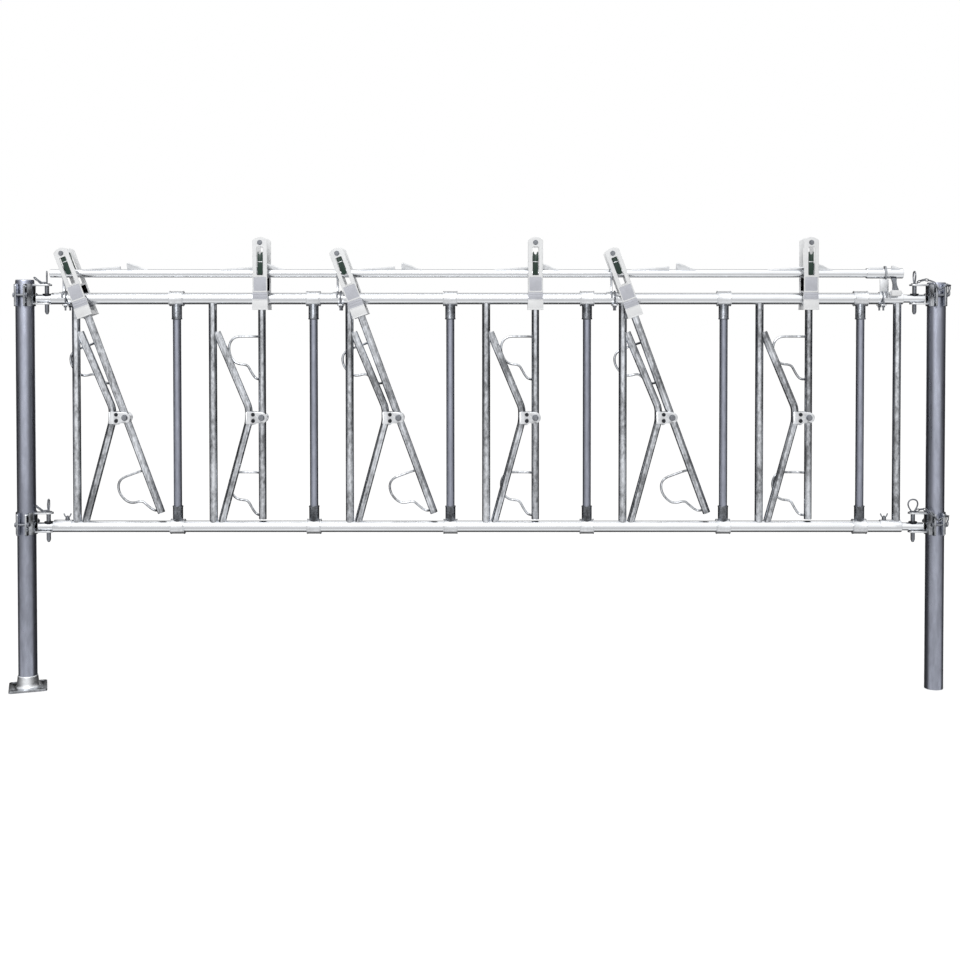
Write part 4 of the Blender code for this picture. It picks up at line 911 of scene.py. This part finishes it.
class HEADLOCK_OT_heads(bpy.types.Operator):
    """Moulded heads on the arms, each of two halves with a window"""

    bl_idname = "headlock.heads"
    bl_label = "Heads"

    def sheet(self, half, low, high, corner, front, back):
        """Upright plate with round corners, between two depths before the arm's axis."""
        return slab(rounded((-half, low), (half, high), corner), -front, -back, "Y")

    def ledge(self, half, low, high, front, back):
        """Straight bar across the head, between two depths before the arm's axis."""
        return block((-half, -front, low), (half, -back, high))

    def half(self, s):
        """Front half: soft-edged cheek, rimmed window, inset panel, stepped band and a lipped cup."""
        rail = RAIL_UP
        bottom, cup_top, band_top, top = rail - 0.037, rail - 0.003, rail + 0.022, rail + 0.2007
        near, face = s.cheek_gap, s.cheek_gap + s.cheek_wall
        half, crown, cup_side = 0.024, 0.032, 0.0222
        shoulder = 180 / pi * acos(half / crown)
        low_edge = [(-half, band_top - 0.002), (half, band_top - 0.002)]
        upper = low_edge + arc(0, top - crown, crown, shoulder, 180 - shoulder, 20)
        light, darker_grey = finish("grey_polyamide"), finish("darker_grey_polyamide")
        window = self.sheet(0.0105, rail + 0.076, rail + 0.1693, 0.0035, 0.06, 0.0)
        cheek = dress(slab(upper, -face, -near, "Y"), light, 0.0016, 3)
        cheek = combine(cheek, twin(window, Matrix.Identity(4)))
        rim = self.sheet(0.0128, rail + 0.0735, rail + 0.1718, 0.0050, face + 0.0009, face - 0.001)
        rim = dress(combine(rim, window), light, 0.0004)
        recess = self.sheet(0.0205, rail + 0.0245, rail + 0.0705, 0.0030, face + 0.002, face - 0.0010)
        cheek = combine(cheek, recess)
        panel = self.sheet(0.0199, rail + 0.0251, rail + 0.0699, 0.0024, face - 0.0004, near)
        band = self.ledge(0.0236, cup_top - 0.001, band_top + 0.001, face - 0.0012, near)
        steps = [self.ledge(0.0240, z, z + 0.0022, face - 0.0002, near + 0.001)
                 for z in (cup_top + 0.008, cup_top + 0.016)]
        mouth = [(-0.0255, bottom), (0.0255, bottom), (0.0250, cup_top), (-0.0250, cup_top)]
        cup = slab(mouth, -face, -near, "Y")
        lip = self.ledge(0.0260, bottom, bottom + 0.0035, face + 0.0012, near)
        crest = self.ledge(0.0252, cup_top - 0.003, cup_top, face + 0.0006, near)
        walls = [block((x - 0.0020, -near - 0.001, bottom + 0.001), (x + 0.0020, -0.0275, band_top))
                 for x in (-cup_side, cup_side)]
        shapes = [dress(item, light, 0.0006) for item in (cup, lip, crest, *walls)]
        shapes += [dress(item, darker_grey, 0.0006) for item in (panel, band, *steps)]
        bridge = self.ledge(0.020, bottom + 0.0008, bottom + 0.0148, near + 0.001, 0.0)
        bore = rod(s.arm_radius + GAP, rail - 0.06, rail, 28)
        bridge = dress(combine(bridge, bore), light, 0.0008)
        return gather(dress(cheek, light), bridge, rim, *shapes)

    def execute(self, context):
        s = context.scene.headlock_sizes
        half = self.half(s)
        head = gather(half, twin(half, MIRROR_Y))
        outside = s.cheek_gap + s.cheek_wall - 0.001
        inside = s.cheek_gap - 0.006
        top = shift(hex_bolt(0.004, 2 * outside, 0.003), at(0, -outside, RAIL_UP + 0.1827) @ ALONG_Y)
        cross = shift(hex_bolt(0.003, 2 * inside, 0.003), at(0, -inside, RAIL_UP - 0.030) @ ALONG_Y)
        bolts = dress(gather(top, cross), finish("plated_bolt_steel"))
        for number in PLACES:
            body, matrix, node = f"locking_arm_{number}", arm_frame(number), f"head_{number}"
            place(head, f"head_shells_{number}", body, "head_grey", matrix, node)
            place(bolts, f"head_bolts_{number}", body, "plated_steel", matrix, node)
        clear(head, bolts)
        return {"FINISHED"}


class HEADLOCK_OT_catches(bpy.types.Operator):
    """Sliding catches between the cheeks of each head"""

    bl_idname = "headlock.catches"
    bl_label = "Catches"

    def plate(self):
        """Outline of a side plate: a rounded foot and two ears with the bolt's slot between them."""
        shaft = SHAFT.z - PIVOTS[0].z
        foot, ear, wide, slot, slot_end = shaft - 0.006, shaft + 0.070, 0.0085, 0.0050, shaft + 0.0655
        side = arc(wide - 0.006, foot + 0.006, 0.006, -90, 0, 5)
        side += arc(wide - 0.002, ear - 0.002, 0.002, 0, 90, 3) + [(slot, ear), (slot, slot_end - 0.0005)]
        side += arc(0, slot_end, 0.0045, -30, -90, 3)
        return mirrored(side)

    def execute(self, context):
        s = context.scene.headlock_sizes
        shaft, half, wide = SHAFT.z - PIVOTS[0].z, s.cheek_gap - GAP, 0.0085
        leg, body, top = half - 0.004, shaft + 0.037, shaft + 0.061
        look = finish("green_polyamide")
        legs = [slab(self.plate(), low, high, "Y") for low, high in ((-half, -leg), (leg, half))]
        parts = [dress(plate, look, 0.0007) for plate in legs]
        bridge = block((-wide, -leg - 0.001, body), (wide, leg + 0.001, top))
        tip, broad, blunt = shaft + s.bar_radius + 0.00035, 0.008, 0.003
        nose = [(blunt, tip), (broad, tip + 0.0072), (broad, top - 0.004)]
        nose = slab(mirrored(nose), -0.005, 0.005, "Y")
        ribs = [block((-0.0092, y - 0.001, body + 0.003), (0.0092, y + 0.001, top - 0.003))
                for y in (-0.020, -0.010, 0.010, 0.020)]
        parts += [dress(item, look, 0.0008) for item in (bridge, nose, *ribs)]
        # bright zinc pins across the legs at the bridge's lower edge: pins, and also a painted highlight, a
        # light line that stands for the gleam on the catch's edge
        chamfered = [(0.0010, -wide), (0.0013, -wide + 0.0004), (0.0013, wide - 0.0004), (0.0010, wide)]
        pins = [shift(turn(chamfered, 16), at(0, y, body) @ ALONG_X) for y in (-half, half)]
        parts += [dress(pin, finish("bright_zinc_plate")) for pin in pins]
        catch = gather(*parts)
        for number in PLACES:
            body, node, matrix = f"catch_{number}", f"pawl_{number}", arm_frame(number)
            if number % 2:
                matrix = matrix @ at(0, 0, CATCH_LIFT)
            place(catch, f"sliding_catch_{number}", body, "catch_green", matrix, node)
        clear(catch)
        return {"FINISHED"}


class HEADLOCK_OT_release_shaft(bpy.types.Operator):
    """Turning shaft with its ramps and collar, and the lever with its knob"""

    bl_idname = "headlock.release_shaft"
    bl_label = "Release shaft"

    def ramps(self, s):
        """Long and short ramp of one place, standing up from the shaft's axis."""
        base, notch, long_end, short_end = s.bar_radius, 0.011, 0.138, 0.077
        root, toe, thick = base - 0.0013, base + 0.0006, 0.0025
        long_side = [(-notch, root), (-notch, 0.0269), (-0.0198, 0.0245), (-long_end, toe), (-long_end, root)]
        rise, run = 0.0403 - base, short_end - notch
        shares = ((0, 0.9), (0.1, 1), (0.21, 0.84), (0.52, 0.54), (0.74, 0.2))
        short_side = [(notch, root)] + [(notch + run * a, base + rise * b) for a, b in shares]
        short_side += [(short_end, toe), (short_end, root)]
        look = finish("bright_zinc_plate")
        return [dress(slab(side, -thick, thick, "Y"), look, 0.0006) for side in (long_side, short_side)]

    def collar(self, s, bore, length, fin):
        """Collar along X with eased rims and one fin."""
        outer, thick = s.bar_radius + 0.0034, 0.0025
        root = outer - 0.0015
        ring = shift(pipe(outer, bore, 0, length, 36), ALONG_X)
        edge = [(fin[0][0], root)] + [(x, outer + z) for x, z in fin] + [(fin[-1][0], root)]
        blade = dress(slab(edge, -thick, thick, "Y"), finish("bright_zinc_plate"), 0.0006)
        return dress(gather(ring, blade), finish("bright_zinc_tube"))

    def neck(self):
        """Cast neck from the hub to the knob, waisted between its ends."""
        root, foot = Vector((0, -0.0094, -0.0152)), Vector((0, -0.0308, -0.0557))
        neck = block((-0.010, -0.004, 0), (0.010, 0.004, 1))
        choose(neck)
        bpy.ops.object.mode_set(mode="EDIT")
        bpy.ops.mesh.select_all(action="SELECT")
        bpy.ops.mesh.subdivide(number_cuts=9)
        bpy.ops.object.mode_set(mode="OBJECT")
        for vert in neck.data.vertices:
            share = min(max(vert.co.z, 0.0), 1.0)
            waist = 1 - 0.32 * sin(pi * min(share / 0.9, 1.0))
            centre = root.lerp(foot, share)
            vert.co = (vert.co.x * waist, centre.y + vert.co.y * 0.85, centre.z)
        return dress(neck, finish("galvanised_casting"), 0.0008)

    def execute(self, context):
        s = context.scene.headlock_sizes
        carrier = at(0, SHAFT.y, SHAFT.z) @ Matrix.Rotation(SHAFT_TILT, 4, "X")
        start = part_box("release_shaft")[0].x
        tube = shift(pipe(s.bar_radius, s.bar_radius - s.bar_wall, start, RAIL_HIGH.x, 36), ALONG_X)
        dress(tube, finish("bright_zinc_tube"))
        place(tube, "shaft_tube", "release_rod", "bright_zinc", carrier, "release_shaft")
        pair = gather(*self.ramps(s))
        for number, centre in zip(PLACES, PIVOTS):
            spot = carrier @ at(centre.x, 0, 0)
            place(pair, f"shaft_ramps_{number}", "release_rod", "bright_zinc", spot, "release_shaft")
        hub_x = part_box("release_lever")[0].x
        fin = ((0.004, 0.002), (0.012, 0.005), (0.0535, 0.006))
        collar = self.collar(s, s.bar_radius - 0.0008, 0.0585, fin)
        spot = carrier @ at(hub_x - 0.0655, 0, 0)
        place(collar, "shaft_collar", "release_rod", "bright_zinc", spot, "release_shaft")
        fin = ((0.014, 0.012), (0.020, 0.012), (0.0445, 0.001))
        hub = self.collar(s, s.bar_radius + 0.0002, 0.0545, fin)
        place(hub, "lever_hub", "release_rod", "bright_zinc", carrier @ at(hub_x, 0, 0), "release_lever")
        neck, knob_x = self.neck(), middle("lever_knob").x
        place(neck, "lever_neck", "release_rod", "bright_zinc", at(knob_x, SHAFT.y, SHAFT.z), "release_lever")
        knob = block((-0.016, -0.013, -0.010), (0.016, 0.013, 0.010))
        dress(knob, finish("grey_polyamide"), 0.0045, 5)
        spot = at(knob_x, SHAFT.y - 0.036, SHAFT.z - 0.066)
        place(knob, "lever_grip", "release_rod", "head_grey", spot, "lever_knob")
        clear(tube, pair, collar, hub, neck, knob)
        return {"FINISHED"}


class HEADLOCK_OT_brackets(bpy.types.Operator):
    """Brackets that carry the shaft on the top rail, with their U-bolts"""

    bl_idname = "headlock.brackets"
    bl_label = "Shaft brackets"

    def carrier(self, s, above):
        """Upright plate that carries the shaft, on a half shell that lies on the rail."""
        outer, inner, eye = s.rail_radius + 0.0028, s.rail_radius + 0.0002, 0.018
        side = [(0.026, 0.003), (0.026, 0.012), (0.012, 0.0222), (0.009, 0.026), (0.009, above - 0.021)]
        side += [(eye, above - 0.0135), (eye, above + 0.012)]
        outline = side + arc(0, above + 0.006, eye, 18, 162, 12) + [(-y, z) for y, z in side[::-1]]
        plate = slab(outline, -0.003, 0.003, "X")
        drill = shift(rod(s.bar_radius + 0.0004, -0.02, 0.02, 36), at(0, 0, above) @ ALONG_X)
        rail = shift(rod(inner, -0.05, 0.05, 40), ALONG_X)
        plate = dress(combine(plate, drill, rail), finish("galvanised_plate_with_painted_shade"), s.soft_edge)
        shell = slab(arc(0, 0, outer, -2, 182, 28) + arc(0, 0, inner, 182, -2, 28), -0.016, 0.020, "X")
        return gather(plate, dress(shell, finish("bright_zinc_plate"), s.soft_edge))

    def clip(self, s):
        """U-bolt over the rail with its strap and two nuts below."""
        leg, low, wire, beside = s.rail_radius + 0.0048, -0.0393, 0.003, 0.011
        path = [(0, leg, low)] + [(0, y, z) for y, z in arc(0, 0, leg, 0, 180, 24)] + [(0, -leg, low)]
        bow = bent_rod(path, wire, sides=16)
        flats = [(0.0052, -0.0290), (0.0057, -0.0283), (0.0057, -0.0240), (0.0052, -0.0233)]
        nuts = [shift(turn(flats, 6), at(0, y, 0)) for y in (-leg, leg)]
        strap = slab(rounded((-0.010, -0.0303), (0.010, 0.0303), 0.006), -0.0233, -0.0193)
        dress(strap, finish("bright_zinc_plate"), 0.0006)
        clip = gather(dress(gather(bow, *nuts), finish("plated_bolt_steel")), strap)
        return shift(clip, at(beside, 0, 0))

    def execute(self, context):
        s = context.scene.headlock_sizes
        above, overhang = SHAFT.z - TOP_RAIL.z, 0.016
        body, clip = self.carrier(s, above), self.clip(s)
        for number in range(1, 5):
            node = f"shaft_bracket_{number}"
            low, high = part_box(node)
            if number == 4:
                matrix = at(high.x - overhang, 0, TOP_RAIL.z) @ MIRROR_X
            else:
                matrix = at(low.x + overhang, 0, TOP_RAIL.z)
            place(body, f"bracket_plate_{number}", "fixed_frame", "bright_zinc", matrix, node)
            place(clip, f"bracket_ubolt_{number}", "fixed_frame", "plated_steel", matrix, node)
        panel = slab(rounded((-0.010, 0.0195), (0.018, above - 0.0185), 0.0025), -0.0095, -0.0045, "Y")
        dress(panel, finish("bright_zinc_plate"), 0.0008)
        place(panel, "bracket_front_panel", "fixed_frame", "bright_zinc", matrix, node)
        clear(body, clip, panel)
        return {"FINISHED"}


class HEADLOCK_OT_studio(bpy.types.Operator):
    """Floor, soft light, white background and the camera"""

    bl_idname = "headlock.studio"
    bl_label = "Studio"

    def floor(self, context):
        """Wide pale floor that shows white with the shadow kept."""
        deselect()
        bpy.ops.mesh.primitive_plane_add(size=1, location=(1.5, 20, -0.0005))
        floor = bpy.context.object
        floor.name = "studio_floor"
        bpy.ops.transform.resize(value=(80, 60, 1))
        bpy.ops.object.transform_apply(location=True, rotation=True, scale=True)
        made, tree, shader = blank("painted_studio_floor")
        rays = add_node(tree, "ShaderNodeLightPath").outputs
        grain = add_node(tree, "ShaderNodeTexNoise", {"Scale": 3.0, "Detail": 2.0}).outputs["Fac"]
        tree.links.new(mapped(tree, grain, 0.0, 1.0, 0.85, 0.95), shader.inputs["Roughness"])
        shader.inputs["Base Color"].default_value = (0.5, 0.5, 0.5, 1)
        shader.inputs["Emission Color"].default_value = (*context.scene.headlock_colours.floor, 1)
        lit = {0: rays["Is Camera Ray"], 1: 0.70}
        glow = add_node(tree, "ShaderNodeMath", lit, operation="MULTIPLY").outputs[0]
        tree.links.new(glow, shader.inputs["Emission Strength"])
        floor.data.materials.append(made)
        floor.visible_glossy = False
        floor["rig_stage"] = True

    def ramp(self, tree, value, low, high, stops):
        """Brightness that follows a direction, from low to high, as (place, level) stops."""
        node = add_node(tree, "ShaderNodeValToRGB", {0: mapped(tree, value, low, high)})
        marks = node.color_ramp.elements
        while len(marks) < len(stops):
            marks.new(0.5)
        for mark, (spot, level) in zip(marks, stops):
            mark.position = (spot - low) / (high - low)
            mark.color = (level, level, level, 1)
        return node.outputs["Color"]

    def world(self, context):
        """White to the camera; to metal a studio with a white wall behind and dark sides."""
        world = bpy.data.worlds.new("studio")
        context.scene.world = world
        world.use_nodes = True
        tree = world.node_tree
        aim = add_node(tree, "ShaderNodeTexCoord").outputs["Generated"]
        _, y, z = add_node(tree, "ShaderNodeSeparateXYZ", {0: aim}).outputs
        walls = ((-1.0, 1.0), (-0.90, 0.95), (-0.64, 0.32), (-0.46, 0.03), (0.96, 0.01), (0.99, 1.0))
        ground = ((-1.0, 0.75), (-0.86, 0.62), (-0.50, 0.92), (-0.25, 0.92), (0.05, 0.12), (1.0, 0.02))
        around = self.ramp(tree, y, -1, 1, walls)
        below = self.ramp(tree, y, -1, 1, ground)
        above = self.ramp(tree, z, 0, 1, ((0.0, 0.0), (0.12, 0.0), (0.50, 1.0), (1.0, 1.0)))
        under = self.ramp(tree, z, -1, 0, ((-1.0, 1.0), (-0.22, 1.0), (-0.03, 0.0)))
        sky = self.ramp(tree, y, -1, 1, ((-1.0, 1.0), (0.45, 1.0), (0.62, 0.35), (1.0, 0.35)))
        sky = add_node(tree, "ShaderNodeMath", {0: sky, 1: 1.25}, operation="MULTIPLY").outputs[0]
        level = blend(tree, above, blend(tree, under, around, below), sky)
        rays = add_node(tree, "ShaderNodeLightPath").outputs
        bounced = {0: rays["Is Glossy Ray"], 1: rays["Is Transmission Ray"]}
        shine = add_node(tree, "ShaderNodeMath", bounced, operation="MAXIMUM").outputs[0]
        seen = blend(tree, shine, (0.72, 0.72, 0.72, 1), level)
        white = blend(tree, rays["Is Camera Ray"], seen, (1, 1, 1, 1))
        tree.links.new(white, tree.nodes["Background"].inputs["Color"])

    def lamp(self, name, place_of, aim, width, height, power):
        """Soft box that faces a point."""
        deselect()
        bpy.ops.object.light_add(type="AREA", location=place_of)
        lamp = bpy.context.object
        lamp.name = name
        lamp.data.shape = "RECTANGLE"
        lamp.data.size, lamp.data.size_y = width, height
        lamp.data.energy = power
        lamp.rotation_euler = (Vector(aim) - Vector(place_of)).to_track_quat("-Z", "Y").to_euler()

    def camera(self, context):
        """Camera before the panel, tipped slightly down, with the photo's framing by shift."""
        down = radians(1.29)
        deselect()
        bpy.ops.object.camera_add(location=(1.580, -4.4, 1.246), rotation=(pi / 2 - down, 0, 0))
        camera = bpy.context.object
        camera.data.sensor_width = 36
        camera.data.lens = 50.1
        camera.data.shift_x = -0.026
        camera.data.shift_y = -0.144
        context.scene.camera = camera

    def execute(self, context):
        self.floor(context)
        self.world(context)
        self.lamp("key_softbox", (0.4, -4.6, 4.2), (1.5, 0, 0.9), 4.0, 2.6, 110)
        self.camera(context)
        context.scene.view_settings.view_transform = "Standard"
        return {"FINISHED"}


OPERATORS = (
    HEADLOCK_OT_posts,
    HEADLOCK_OT_post_clamps,
    HEADLOCK_OT_drop_pins,
    HEADLOCK_OT_rails,
    HEADLOCK_OT_dividers,
    HEADLOCK_OT_neck_frames,
    HEADLOCK_OT_pivot_clamps,
    HEADLOCK_OT_arms,
    HEADLOCK_OT_heads,
    HEADLOCK_OT_catches,
    HEADLOCK_OT_release_shaft,
    HEADLOCK_OT_brackets,
    HEADLOCK_OT_studio,
)


class HEADLOCK_PT_panel(bpy.types.Panel):
    """Sizes, colours and steps of the headlock"""

    bl_label = "Headlock"
    bl_space_type = "VIEW_3D"
    bl_region_type = "UI"
    bl_category = "Headlock"

    def draw(self, context):
        for group in (context.scene.headlock_sizes, context.scene.headlock_colours):
            box = self.layout.box()
            for key in group.__annotations__:
                box.prop(group, key)
        for operator in OPERATORS:
            self.layout.operator(operator.bl_idname)


CLASSES = (HeadlockSizes, HeadlockColours, *OPERATORS, HEADLOCK_PT_panel)


def register():
    for item in CLASSES:
        bpy.utils.register_class(item)
    bpy.types.Scene.headlock_sizes = bpy.props.PointerProperty(type=HeadlockSizes)
    bpy.types.Scene.headlock_colours = bpy.props.PointerProperty(type=HeadlockColours)


def unregister():
    del bpy.types.Scene.headlock_colours
    del bpy.types.Scene.headlock_sizes
    for item in reversed(CLASSES):
        bpy.utils.unregister_class(item)


def main():
    """Build every piece and the studio."""
    register()
    for old in list(bpy.data.objects):
        if "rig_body" not in old and not old.name.startswith("body:"):
            bpy.data.objects.remove(old)
    for operator in OPERATORS:
        group, step = operator.bl_idname.split(".")
        getattr(getattr(bpy.ops, group), step)()
    boxes = {"cad": CAD_BOX, "visual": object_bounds()}
    {name: [list(corner) for corner in box] for name, box in boxes.items()}


if __name__ == "__main__":
    main()
